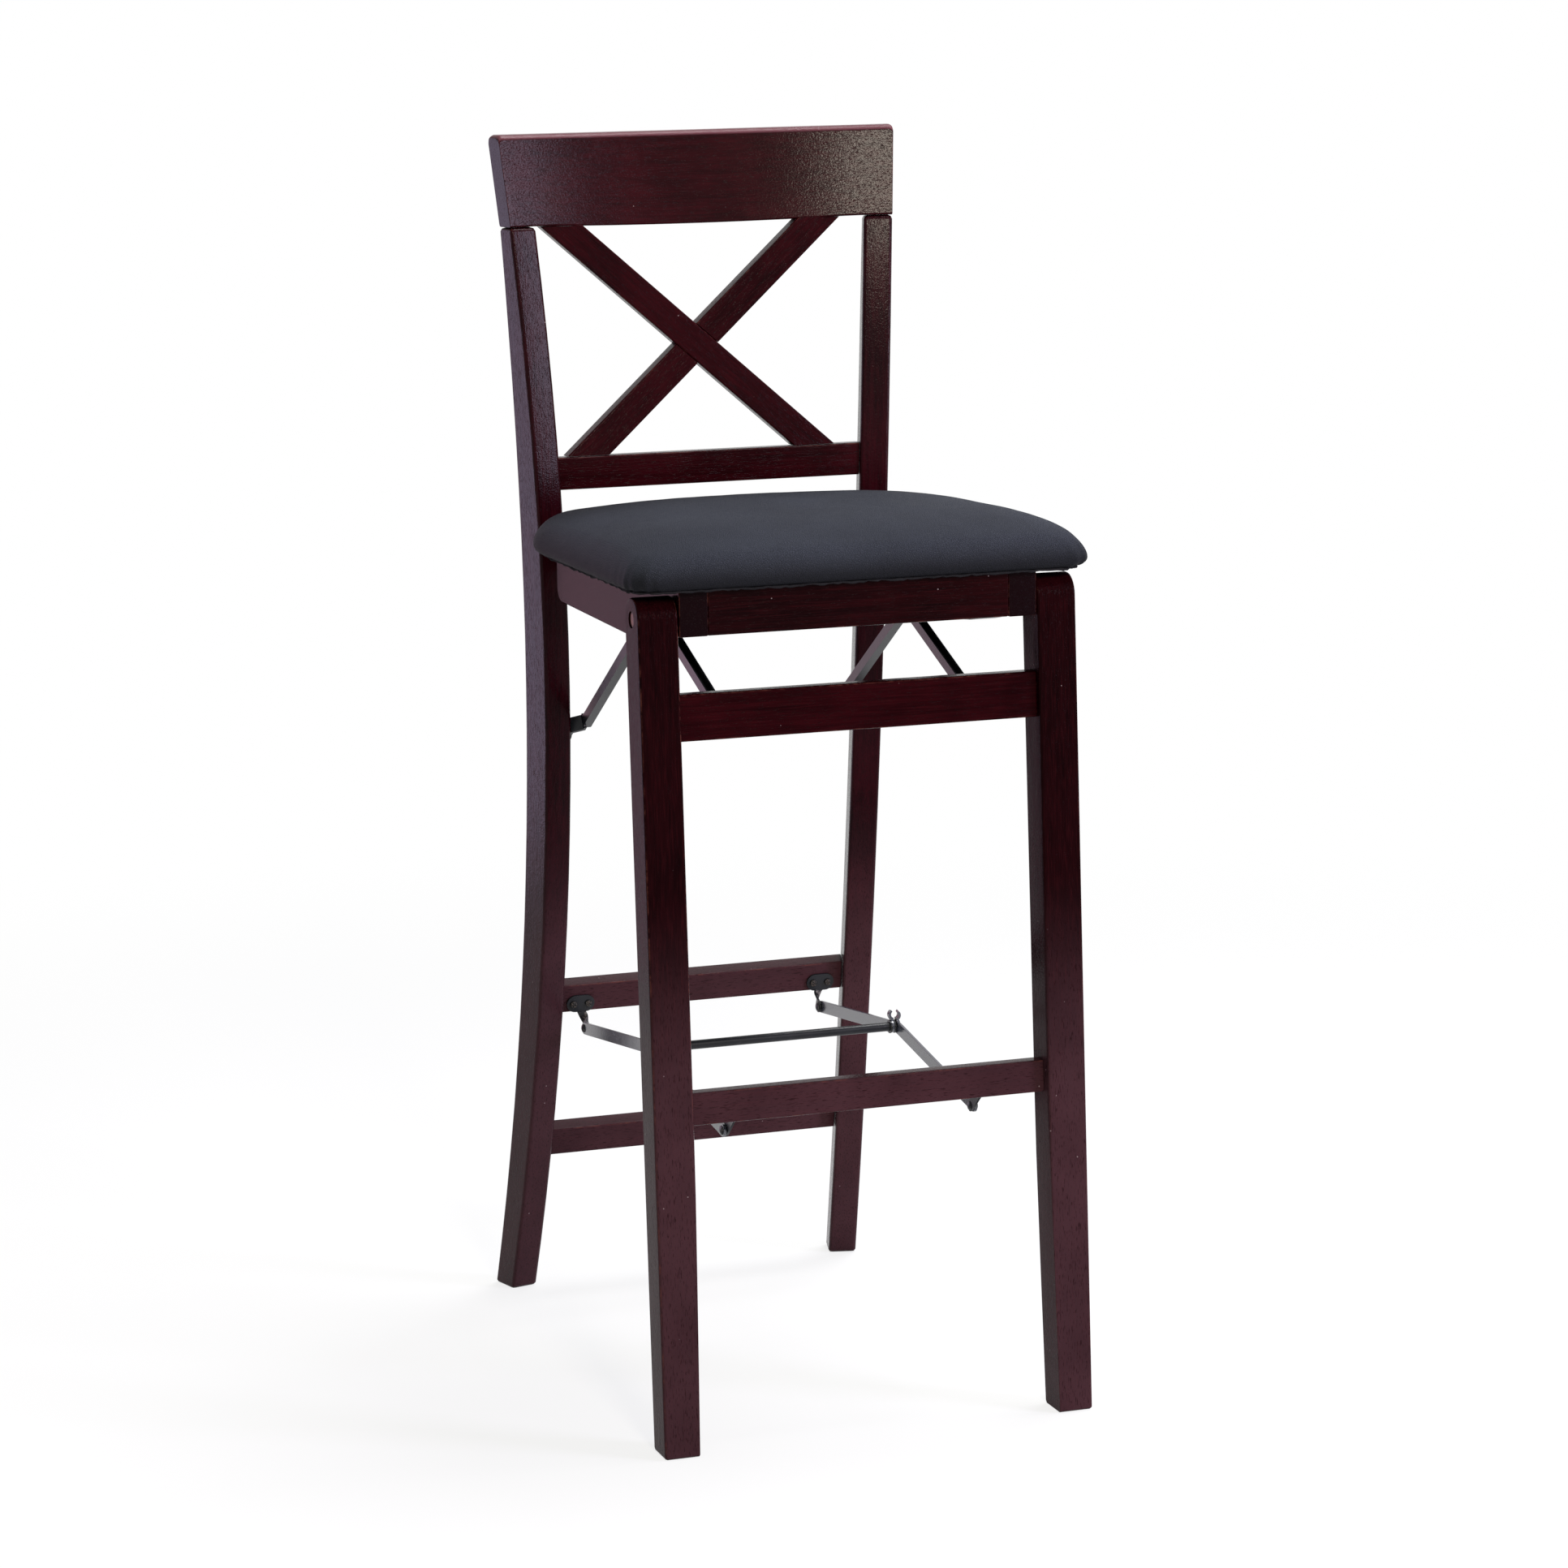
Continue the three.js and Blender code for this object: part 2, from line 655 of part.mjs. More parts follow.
// Plan of the seat: tight front corners, wide rear corners, as a ring of points at one height
function planRing(inset, heightAt) {
  const halfWidth = cushionWidth / 2 - inset;
  const halfDepth = cushionDepth / 2 - inset;
  const [front, rear] = [cushionFrontRadius, cushionRearRadius]
    .map((radius) => Math.min(radius, halfDepth * cornerLimitShare));
  const outline = new THREE.Path();
  outline.absarc(halfWidth - rear, halfDepth - rear, rear, 0, Math.PI / 2);
  outline.absarc(rear - halfWidth, halfDepth - rear, rear, Math.PI / 2, Math.PI);
  outline.absarc(front - halfWidth, front - halfDepth, front, Math.PI, Math.PI * 3 / 2);
  outline.absarc(halfWidth - front, front - halfDepth, front, -Math.PI / 2, 0);
  outline.closePath();
  const steps = { LineCurve: cushionStraightSteps, EllipseCurve: cushionCornerSteps };
  const points = outline.curves.flatMap((curve) => curve.getPoints(steps[curve.type]).slice(1));
  return points.map(({ x, y }) => new THREE.Vector3(x, cushionFront + cushionDepth / 2 + y, heightAt(x, y)));
}

function planSlab(inset, low, high) {
  return loft([planRing(inset, () => low), planRing(inset, () => high)]);
}

function seatBoard() {
  return planSlab(boardEdge, boardLow, boardLow + boardThickness);
}

function seatLining() {
  return planSlab(boardEdge, seatDeckHeight, seatDeckHeight + liningThickness);
}

// Cushion: sides drawn in at the welt, a rounded shoulder and a crowned top, hollow over the board
function seatCushion() {
  const low = boardLow + fitGap;
  const shoulderHeight = low + cushionEdgeHeight;
  const crown = (x, y) => {
    const across = 1 - Math.abs(x / (cushionWidth / 2)) ** crownPowerShares.across;
    const along = 1 - Math.abs(y / (cushionDepth / 2)) ** crownPowerShares.across;
    const share = Math.max(across * along, 0) ** crownPowerShares.whole;
    return shoulderHeight + (cushionTop - shoulderHeight) * share;
  };
  const sides = cushionSideShares.map(([heightShare, insetShare]) => planRing(
    cushionBulge * insetShare, () => low + cushionEdgeHeight * heightShare));
  const shoulders = cushionShoulderShares.map((share) => planRing(cushionShoulder * share, (x, y) => (
    Math.min(crown(x, y), shoulderHeight + cushionShoulder * share))));
  const middle = Math.min(cushionWidth, cushionDepth) / 2 - cushionShoulder;
  const tops = cushionCrownShares.slice(1).map((share) => planRing(
    cushionShoulder + middle * (1 - share), crown));
  const hollow = planSlab(boardEdge - fitGap, low - cutOverrun, boardLow + boardThickness + fitGap);
  return cut(loft([...sides, ...shoulders, ...tops]), hollow);
}

// Pressed channel with its web underneath, from the origin along +Y; both ends rounded
function braceChannel(middle, length) {
  const half = braceWidth / 2;
  const low = -braceDepth / 2;
  const high = braceDepth / 2;
  const section = polygon([
    [middle - half, high], [middle - half, low], [middle + half, low], [middle + half, high],
    [middle + half - braceWall, high], [middle + half - braceWall, low + braceWall],
    [middle - half + braceWall, low + braceWall], [middle - half + braceWall, high],
  ]);
  const blank = alongY(section, -braceDepth, length + braceDepth);
  const ends = alongX(stadium(length, braceDepth / 2), middle - braceWidth, middle + braceWidth);
  return common(blank, ends);
}

function pinHole(middle, y) {
  const radius = bracePinRadius + pivotClearance;
  return drill(radius, middle - braceWidth, middle + braceWidth, y, 0);
}

// Rear brace: channel up to the seat pivot, its outer wall bent outwards into a flat foot at the post
function rearBrace(length) {
  const channel = braceChannel(rearBraceMiddle, length - braceFootLength).translate(0, braceFootLength, 0);
  const wallMiddle = rearBraceMiddle + braceWidth / 2 - braceFootThickness / 2;
  const half = braceFootThickness / 2;
  const bendStart = braceFootLength + braceDepth / 2;
  const bendEnd = braceFootRadius + braceFootThickness;
  const strap = new THREE.ExtrudeGeometry(polygon([
    [wallMiddle - half, bendStart], [wallMiddle - half, braceFootLength - half],
    [braceFootMiddle - half, bendEnd - half], [braceFootMiddle - half, 0],
    [braceFootMiddle + half, 0], [braceFootMiddle + half, bendEnd + half],
    [wallMiddle + half, braceFootLength + half], [wallMiddle + half, bendStart],
  ]), { depth: braceFootHeight, bevelEnabled: false }).translate(0, 0, -braceFootHeight / 2);
  const eye = drill(braceFootRadius, braceFootMiddle - half, braceFootMiddle + half, 0, 0);
  const whole = joined(channel, closed(strap), eye);
  return cut(whole, pinHole(braceFootMiddle, 0), pinHole(rearBraceMiddle, length));
}

// Front brace: plain channel; the rivet of its upper joint shows on the inner side
function frontBrace(length) {
  const channel = cut(braceChannel(frontBraceMiddle, length), pinHole(frontBraceMiddle, 0));
  const inside = frontBraceMiddle - braceWidth / 2;
  const rivet = turned([
    ...domeEnd(braceHeadRadius - braceWall, inside, inside - braceHeadHeight).reverse(),
    ...flatEnd(bracePinRadius, inside + braceWidth),
  ]).translate(0, length, 0);
  return joined(channel, rivet);
}

// Pivot of the rear brace in the post: head, foot eye, collar, then the shank in the post
function braceRivet() {
  const eyeInside = braceFootMiddle - braceFootThickness / 2 - fitGap;
  const eyeOutside = braceFootMiddle + braceFootThickness / 2 + fitGap;
  const postFace = postInnerX(rearBracePivotSetback - braceCollarRadius, rearBracePivotHeight) - fitGap * 2;
  const end = postInnerX(rearBracePivotSetback, rearBracePivotHeight) + bracePinReach;
  const rivet = turned([
    ...domeEnd(braceHeadRadius, eyeInside, eyeInside - braceHeadHeight).reverse(),
    ...collar(bracePinRadius, eyeInside, eyeOutside),
    ...collar(braceCollarRadius, eyeOutside, postFace),
    ...[new THREE.Vector2(bracePinRadius, postFace)],
    ...flatEnd(bracePinRadius, end),
  ]);
  return rivet.translate(0, rearBracePivotSetback, rearBracePivotHeight);
}

// Pivot of the rear brace on the seat rail: head, channel, collar, then the shank in the rail
function bracePin() {
  const inside = rearBraceMiddle - braceWidth / 2 - fitGap;
  const outside = rearBraceMiddle + braceWidth / 2 + fitGap;
  const railFace = seatRailInside - fitGap;
  const pin = turned([
    ...domeEnd(braceHeadRadius, inside, inside - braceHeadHeight).reverse(),
    ...collar(bracePinRadius, inside, outside),
    ...collar(braceCollarRadius, outside, railFace),
    ...[new THREE.Vector2(bracePinRadius, railFace)],
    ...flatEnd(bracePinRadius, seatRailInside + bracePinReach),
  ]);
  return pin.translate(0, seatPivotSetback, seatPivotHeight);
}

// Link of the folding stay: flat bar with a hole at its pivot and a hooked stop finger at the knee;
// it drifts sideways between its two flat ends
function stayLink(inside, drift, length, bulgeSide) {
  const half = linkWidth / 2;
  const flat = kneeWasherRadius + half;
  const pivotEnd = new THREE.Shape();
  pivotEnd.absarc(0, 0, half, Math.PI / 2, Math.PI * 3 / 2);
  pivotEnd.lineTo(flat, -half);
  pivotEnd.lineTo(flat, half);
  const hole = new THREE.Path();
  hole.absarc(0, 0, linkRivetRadius + pivotClearance, 0, Math.PI * 2, true);
  pivotEnd.holes.push(hole);
  const kneeEnd = new THREE.Shape();
  kneeEnd.absarc(length, 0, half, -Math.PI / 2, Math.PI / 2);
  kneeEnd.lineTo(length - flat, half);
  kneeEnd.lineTo(length - flat, -half);
  const outside = inside + linkThickness;
  const middlePart = new THREE.ExtrudeGeometry(polygon([
    [inside + drift, half], [outside + drift, half], [outside + drift, flat], [outside, length - flat],
    [outside, length - half], [inside, length - half], [inside, length - flat], [inside + drift, flat],
  ]), { depth: linkWidth, bevelEnabled: false }).translate(0, 0, -half);
  const bar = joined(alongX(pivotEnd, inside + drift, outside + drift), closed(middlePart),
    alongX(kneeEnd, inside, outside));
  const bow = new THREE.Shape();
  const chord = fingerHeight;
  const radius = (chord * chord / 4 + fingerBulge * fingerBulge) / (fingerBulge * 2);
  const reach = Math.asin(chord / 2 / radius);
  const centre = fingerBulge - radius;
  bow.absarc(centre, chord / 2, radius + fingerThickness / 2, -reach, reach);
  bow.absarc(centre, chord / 2, radius - fingerThickness / 2, reach, -reach, true);
  const upright = new THREE.Matrix4().makeScale(bulgeSide, 1, 1);
  const finger = closed(extruded(bow, fingerWidth).applyMatrix4(extrusionAlongY).applyMatrix4(upright));
  const middle = inside + linkThickness / 2;
  const bowLow = kneeWasherRadius + fingerThickness / 2;
  finger.translate(middle, length + fingerWidth / 2, bowLow);
  const stemHigh = bowLow + fingerThickness / 2;
  const stem = alongX(polygon([
    [length - fingerWidth / 2, 0], [length + fingerWidth / 2, 0],
    [length + fingerWidth / 2, stemHigh], [length - fingerWidth / 2, stemHigh],
  ]), inside, outside);
  return joined(bar, stem, finger);
}

function kneeWasher(inside) {
  return drill(kneeWasherRadius, inside, inside + kneeWasherThickness, 0, 0);
}

function kneeRivet() {
  const face = frontLinkInside + linkThickness;
  const headSeat = face + kneeWasherThickness / 2;
  const rivet = [
    ...flatEnd(kneeWasherRadius, face).reverse(),
    ...collar(kneeWasherRadius, face, headSeat),
    ...domeEnd(linkRivetHeadRadius, headSeat, face + kneeWasherThickness + linkRivetHeadHeight),
  ];
  return turned(rivet);
}

function crossRod() {
  const end = kneeWasherInside;
  return turned([...flatEnd(crossRodRadius, -end).reverse(), ...flatEnd(crossRodRadius, end)]);
}

// Rivet through a fixed lug and a link that lie side by side
function linkRivet(lugInside, linkInside) {
  const low = lugInside - fitGap;
  const high = linkInside + linkThickness + fitGap;
  return turned([
    ...domeEnd(linkRivetHeadRadius, low, low - linkRivetHeadHeight).reverse(),
    ...collar(linkRivetRadius, low, high),
    ...domeEnd(linkRivetHeadRadius, high, high + linkRivetHeadHeight),
  ]);
}

// Where a point of the side view lies in a frame that leans with a rail
function inLeaningFrame(lean, originY, originZ, y, z) {
  const angle = Math.atan(-lean);
  const point = new THREE.Vector2(y - originY, z - originZ);
  return point.rotateAround(new THREE.Vector2(0, 0), -angle);
}

// Oval hinge plate with a tongue that twists a quarter turn down to the link's rivet
function linkPlate(pivot) {
  const halfRun = (plateWidth - plateHeight) / 2;
  const oval = stadium(halfRun * 2, plateHeight / 2);
  for (const side of [-1, 1]) {
    const hole = new THREE.Path();
    const x = halfRun + side * plateScrewSpacing / 2;
    hole.absarc(x, 0, plateScrewRadius + pivotClearance, 0, Math.PI * 2, true);
    oval.holes.push(hole);
  }
  const plate = alongY(oval, -fitGap - plateThickness, -fitGap).translate(plateMiddle - halfRun, 0, 0);
  const plateDepth = -fitGap - plateThickness / 2;
  const start = new THREE.Vector3(plateMiddle, plateDepth, plateThickness - plateHeight / 2);
  const end = new THREE.Vector3(tongueInside + tongueThickness / 2, pivot.x, pivot.y);
  const bend = new THREE.Vector3(end.x, start.y, (start.z + end.z) / 2);
  const path = new THREE.QuadraticBezierCurve3(start, bend, end);
  const rings = [];
  for (let step = 0; step <= tongueSteps; step += 1) {
    const share = step / tongueSteps;
    const twist = Math.min(share / twistRunShare, 1) * Math.PI / 2;
    const tangent = path.getTangent(share);
    const across = new THREE.Vector3(0, -tangent.z, tangent.y).normalize();
    const wide = new THREE.Vector3(Math.cos(twist), 0, 0).addScaledVector(across, Math.sin(twist));
    const thick = new THREE.Vector3().crossVectors(tangent, wide).setLength(tongueThickness / 2);
    wide.setLength(tongueWidth / 2);
    rings.push([[1, 1], [1, -1], [-1, -1], [-1, 1]].map(([a, b]) => path.getPoint(share)
      .addScaledVector(wide, a)
      .addScaledVector(thick, b)));
  }
  const eye = drill(tongueEyeRadius, tongueInside, tongueInside + tongueThickness, pivot.x, pivot.y);
  const hole = drill(linkRivetRadius + pivotClearance, tongueInside - cutOverrun,
    tongueInside + tongueThickness + cutOverrun, pivot.x, pivot.y);
  return cut(joined(plate, loft(rings), eye), hole);
}

// Screw head on the plate with its shank in the plate's hole, turned about Y
function plateScrew() {
  const head = plateThickness + fitGap * 2;
  const profile = [
    ...flatEnd(plateScrewRadius, fitGap * 2).reverse(),
    new THREE.Vector2(plateScrewRadius, head),
    ...domeEnd(plateScrewHeadRadius, head, head + plateScrewHeadHeight),
  ];
  return closed(new THREE.LatheGeometry(profile, roundSteps).rotateX(Math.PI));
}

// Bracket on a rail's rear face: a flange and a lug that reaches the pivot
function railBracket(pivot, lugInside, flangeInside, flangeWidth, height, eyeRadius, pinRadius) {
  const face = fitGap;
  const back = face + braceBracketThickness;
  const flange = alongX(polygon([
    [face, -height / 2], [back, -height / 2], [back, height / 2], [face, height / 2],
  ]), flangeInside, flangeInside + flangeWidth);
  const away = pivot.clone().sub(new THREE.Vector2(face, 0));
  const swing = Math.acos(Math.min(eyeRadius * 2 / away.length(), 1));
  const lugShape = new THREE.Shape();
  lugShape.moveTo(face, height / 2);
  lugShape.lineTo(face, -height / 2);
  lugShape.absarc(pivot.x, pivot.y, eyeRadius, -Math.PI / 2 - swing / 4, Math.PI / 2 - swing / 4);
  const lug = alongX(lugShape, lugInside, lugInside + tongueThickness);
  const hole = drill(pinRadius + pivotClearance, lugInside - cutOverrun,
    lugInside + tongueThickness + cutOverrun, pivot.x, pivot.y);
  return cut(joined(flange, lug), hole);
}

// Pin of the front brace: through its lug and the channel beside it
function frontBracePin() {
  const low = frontBraceMiddle - braceWidth / 2 - fitGap;
  const high = frontBraceMiddle + braceWidth / 2 + linkRunningGap + tongueThickness + fitGap;
  return turned([
    ...domeEnd(braceHeadRadius, low, low - braceHeadHeight).reverse(),
    ...collar(bracePinRadius, low, high),
    ...domeEnd(braceHeadRadius, high, high + braceHeadHeight),
  ]);
}

// Materials: dark cherry lacquer, black steel, leatherette, cloth, bare wood
function surface(color, roughness, metalness) {
  return new THREE.MeshStandardMaterial({ color, roughness, metalness });
}

const lacquer = () => surface(0x3c1a1c, 0.34, 0);
const blackSteel = () => surface(0x23262a, 0.38, 0.75);
const darkZinc = () => surface(0x33343a, 0.42, 0.85);
const leatherette = () => surface(0x34383c, 0.52, 0);
const blackCloth = () => surface(0x131313, 0.95, 0);
const bareWood = () => surface(0xc99c78, 0.8, 0);
const redPlug = () => surface(0x6a2418, 0.5, 0);

function add(group, name, geometry, material) {
  const mesh = new THREE.Mesh(geometry, material);
  mesh.name = name;
  group.add(mesh);
  return mesh;
}

// The right piece as modelled and its mirror image on the left
function addPair(group, name, geometry, material) {
  add(group, `${name}_left`, mirrored(geometry, -1, 1, 1), material());
  add(group, `${name}_right`, geometry, material());
}

function placedGroup(parent, y, z, tilt) {
  const group = new THREE.Group();
  group.position.set(0, y, z);
  group.rotation.x = tilt;
  parent.add(group);
  return group;
}

function buildRearFrame() {
  const group = new THREE.Group();
  addPair(group, 'rear_post', rearPost(), lacquer);
  add(group, 'crest_rail', crestRail(), lacquer());
  const [barA, barB] = backBars();
  add(group, 'back_bar_a', barA, lacquer());
  add(group, 'back_bar_b', barB, lacquer());
  add(group, 'back_lower_rail', crossRail(backRail, postEndX), lacquer());
  add(group, 'rear_stretcher_upper', crossRail(upperStretcher, postEndX), lacquer());
  add(group, 'rear_stretcher_lower', crossRail(lowerStretcher, postEndX), lacquer());
  addPair(group, 'brace_rivet', braceRivet(), blackSteel);

  const lean = upperStretcher.lean;
  const plateY = upperStretcher.front - lean * plateDrop;
  const plateZ = upperStretcher.middle - plateDrop;
  const plates = placedGroup(group, plateY, plateZ, Math.atan(-lean));
  const pivot = inLeaningFrame(lean, plateY, plateZ, rearLinkPivotSetback, rearLinkPivotHeight);
  addPair(plates, 'link_plate', linkPlate(pivot), blackSteel);
  for (const [letter, side] of [['a', -1], ['b', 1]]) {
    const screw = plateScrew().translate(plateMiddle + side * plateScrewSpacing / 2, 0, 0);
    addPair(plates, `plate_screw_${letter}`, screw, blackSteel);
  }
  const rivets = placedGroup(group, rearLinkPivotSetback, rearLinkPivotHeight, 0);
  addPair(rivets, 'link_rivet_rear', linkRivet(tongueInside, rearLinkInside + rearLinkDrift), blackSteel);
  return group;
}

function buildRearBraces() {
  const run = rearBracePivotSetback - seatPivotSetback;
  const rise = seatPivotHeight - rearBracePivotHeight;
  const group = new THREE.Group();
  const arms = placedGroup(group, rearBracePivotSetback, rearBracePivotHeight, -Math.atan2(rise, run));
  addPair(arms, 'rear_brace', mirrored(rearBrace(Math.hypot(run, rise)), 1, -1, 1), blackSteel);
  return group;
}

function buildSeat() {
  const group = new THREE.Group();
  addPair(group, 'seat_side_rail', seatSideRail(), lacquer);
  add(group, 'seat_front_apron', seatCrossRail(seatRailFront), lacquer());
  add(group, 'seat_rear_rail', seatCrossRail(seatRailRear - apronThickness), lacquer());
  add(group, 'seat_cleat', seatCleat(), bareWood());
  add(group, 'seat_lining', seatLining(), blackCloth());
  add(group, 'seat_board', seatBoard(), bareWood());
  add(group, 'seat_cushion', seatCushion(), leatherette());
  addPair(group, 'leg_bolt', legBolt(), darkZinc);
  addPair(group, 'brace_pin', bracePin(), blackSteel);
  return group;
}

function buildFrontFrame() {
  const group = new THREE.Group();
  addPair(group, 'front_leg', frontLeg(), lacquer);
  addPair(group, 'leg_plug', legPlug(), redPlug);
  add(group, 'front_upper_rail', crossRail(upperRail, () => legInside), lacquer());
  add(group, 'foot_rail', crossRail(footRail, () => legInside), lacquer());

  const rearFaceOf = (rail) => {
    const across = Math.hypot(1, rail.lean);
    return [rail.front + rail.thickness / across, rail.middle - rail.thickness * rail.lean / across];
  };
  const [braceFaceY, braceFaceZ] = rearFaceOf(upperRail);
  const braceFrame = placedGroup(group, braceFaceY, braceFaceZ, -Math.atan(upperRail.lean));
  const bracePivot = inLeaningFrame(upperRail.lean, braceFaceY, braceFaceZ,
    frontBracePivotSetback, frontBracePivotHeight);
  const braceLug = frontBraceMiddle + braceWidth / 2 + linkRunningGap;
  const braceBracket = railBracket(bracePivot, braceLug, braceLug + tongueThickness - braceBracketWidth,
    braceBracketWidth, braceBracketHeight, tongueEyeRadius + braceWall, bracePinRadius);
  addPair(braceFrame, 'brace_bracket', braceBracket, blackSteel);
  const bracePins = placedGroup(group, frontBracePivotSetback, frontBracePivotHeight, 0);
  addPair(bracePins, 'front_brace_pin', frontBracePin(), blackSteel);

  const [linkFaceY, linkFaceZ] = rearFaceOf(footRail);
  const linkFrame = placedGroup(group, linkFaceY, linkFaceZ, -Math.atan(footRail.lean));
  const linkPivot = inLeaningFrame(footRail.lean, linkFaceY, linkFaceZ,
    frontLinkPivotSetback, frontLinkPivotHeight);
  const flangeInside = linkLugInside + tongueThickness - linkBracketWidth;
  const linkBracket = railBracket(linkPivot, linkLugInside, flangeInside,
    linkBracketWidth, linkBracketHeight, tongueEyeRadius, linkRivetRadius);
  addPair(linkFrame, 'link_bracket', linkBracket, blackSteel);
  const linkRivets = placedGroup(group, frontLinkPivotSetback, frontLinkPivotHeight, 0);
  const rivet = linkRivet(linkLugInside, frontLinkInside + frontLinkDrift);
  addPair(linkRivets, 'link_rivet_front', rivet, blackSteel);
  return group;
}

function buildFrontBraces() {
  const rearPivot = new THREE.Vector2(rearBracePivotSetback, rearBracePivotHeight);
  const seatPivot = new THREE.Vector2(seatPivotSetback, seatPivotHeight);
  const joint = seatPivot.clone().add(rearPivot.sub(seatPivot).setLength(braceJointDistance));
  const run = joint.x - frontBracePivotSetback;
  const rise = joint.y - frontBracePivotHeight;
  const group = new THREE.Group();
  const arms = placedGroup(group, frontBracePivotSetback, frontBracePivotHeight, Math.atan2(rise, run));
  addPair(arms, 'front_brace', frontBrace(Math.hypot(run, rise)), blackSteel);
  return group;
}

function buildRearLinks() {
  const run = rearLinkPivotSetback - kneeSetback;
  const rise = kneeHeight - rearLinkPivotHeight;
  const group = new THREE.Group();
  const arms = placedGroup(group, rearLinkPivotSetback, rearLinkPivotHeight, -Math.atan2(rise, run));
  const link = stayLink(rearLinkInside, rearLinkDrift, Math.hypot(run, rise), -1);
  addPair(arms, 'rear_link', mirrored(link, 1, -1, 1), blackSteel);
  const knee = placedGroup(group, kneeSetback, kneeHeight, 0);
  add(knee, 'cross_rod', crossRod(), blackSteel());
  addPair(knee, 'knee_washer_inner', kneeWasher(kneeWasherInside), blackSteel);
  addPair(knee, 'knee_washer_outer', kneeWasher(rearLinkInside + linkThickness), blackSteel);
  return group;
}

function buildFrontLinks() {
  const run = kneeSetback - frontLinkPivotSetback;
  const rise = kneeHeight - frontLinkPivotHeight;
  const group = new THREE.Group();
  const arms = placedGroup(group, frontLinkPivotSetback, frontLinkPivotHeight, Math.atan2(rise, run));
  const link = stayLink(frontLinkInside, frontLinkDrift, Math.hypot(run, rise), 1);
  addPair(arms, 'front_link', link, blackSteel);
  const knee = placedGroup(group, kneeSetback, kneeHeight, 0);
  addPair(knee, 'knee_rivet', kneeRivet(), blackSteel);
  return group;
}

const stool = new THREE.Group();
stool.add(buildRearFrame(), buildRearBraces(), buildSeat(), buildFrontFrame());
stool.add(buildFrontBraces(), buildRearLinks(), buildFrontLinks());
const middle = new THREE.Box3().setFromObject(stool, true).getCenter(new THREE.Vector3());
stool.position.y = -middle.y;

export default stool;
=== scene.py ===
# Folding bar stool: dark cherry lacquer over wood, black steel fittings, charcoal leatherette seat.
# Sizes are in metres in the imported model's frame, front towards -Y.
import bmesh
import bpy
import math
from mathutils import Matrix, Vector, noise


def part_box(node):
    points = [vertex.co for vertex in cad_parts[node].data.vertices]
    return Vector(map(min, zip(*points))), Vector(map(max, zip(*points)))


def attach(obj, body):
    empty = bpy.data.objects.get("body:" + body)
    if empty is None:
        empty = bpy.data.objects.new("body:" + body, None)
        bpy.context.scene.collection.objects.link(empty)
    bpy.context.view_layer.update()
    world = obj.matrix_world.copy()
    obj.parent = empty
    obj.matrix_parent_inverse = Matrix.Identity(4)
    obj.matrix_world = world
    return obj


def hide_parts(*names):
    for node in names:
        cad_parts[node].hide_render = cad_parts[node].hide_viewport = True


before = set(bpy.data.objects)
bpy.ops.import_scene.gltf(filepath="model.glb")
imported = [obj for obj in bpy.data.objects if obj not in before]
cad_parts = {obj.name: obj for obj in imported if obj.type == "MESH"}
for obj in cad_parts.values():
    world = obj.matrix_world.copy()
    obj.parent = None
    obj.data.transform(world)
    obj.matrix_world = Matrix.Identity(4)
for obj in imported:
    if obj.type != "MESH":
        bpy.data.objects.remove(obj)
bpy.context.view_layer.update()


# Rear posts. Each is one curved board of stained hardwood that runs from the floor to the crest.
# The lacquer is dark and satin over an open grain, and it is rubbed through along the corners.
class Wire:
    """One socket of a finish, used in sums as if it were a number."""

    def __init__(self, tree, socket=None):
        self.tree = tree
        self.socket = socket

    def node(self, kind, settings, sockets, result=0):
        made = self.tree.nodes.new("ShaderNode" + kind)
        for name, value in settings.items():
            setattr(made, name, value)
        for name, value in sockets.items():
            if isinstance(value, Wire):
                self.tree.links.new(value.socket, made.inputs[name])
            else:
                made.inputs[name].default_value = value
        return Wire(self.tree, made.outputs[result])

    def maths(self, operation, *others):
        return self.node("Math", {"operation": operation}, dict(enumerate((self, *others))))

    def __add__(self, other):
        return self.maths("ADD", other)

    def __sub__(self, other):
        return self.maths("SUBTRACT", other)

    def __rsub__(self, other):
        return self.node("Math", {"operation": "SUBTRACT"}, {0: other, 1: self})

    def __mul__(self, other):
        return self.maths("MULTIPLY", other)

    __radd__ = __add__
    __rmul__ = __mul__

    def rise(self, low, high):
        """Zero below the low value and one above the high one, with a smooth slope between them."""
        return self.node("MapRange", {"interpolation_type": "SMOOTHSTEP"},
                         {"Value": self, "From Min": low, "From Max": high})

    def tint(self, under, over):
        """Lays one colour over another, as thickly as this mask says."""
        return self.node("Mix", {"data_type": "RGBA"}, {0: self, 6: under, 7: over}, 2)

    def cloud(self, size, detail=2.0, rough=0.5):
        """Soft noise whose lumps are about as wide as the given size."""
        return self.node("TexNoise", {},
                         {"Vector": self, "Scale": 1 / size, "Detail": detail, "Roughness": rough})

    def turned(self, turn, stretch):
        """Places measured along a turned board, and stretched along its grain."""
        return self.node("Mapping", {"vector_type": "TEXTURE"},
                         {"Vector": self, "Rotation": turn, "Scale": (1, 1, stretch)})

    def part(self, axis):
        """One of a place's or a direction's three values."""
        return self.node("SeparateXYZ", {}, {"Vector": self}, axis)

    def facing(self):
        """The way that the surface faces, in the piece's own axes."""
        return self.node("TexCoord", {}, {}, "Normal")

    def corners(self):
        """One on the softened corners of a dressed piece and zero on its faces."""
        return self.node("Attribute", {"attribute_name": "corner"}, {}, "Fac")

    def dust(self, count, low, high):
        """Scattered round dots, the given count to a metre, from a full middle out to a faint edge."""
        return 1 - self.node("TexVoronoi", {}, {"Vector": self, "Scale": count}).rise(low, high)


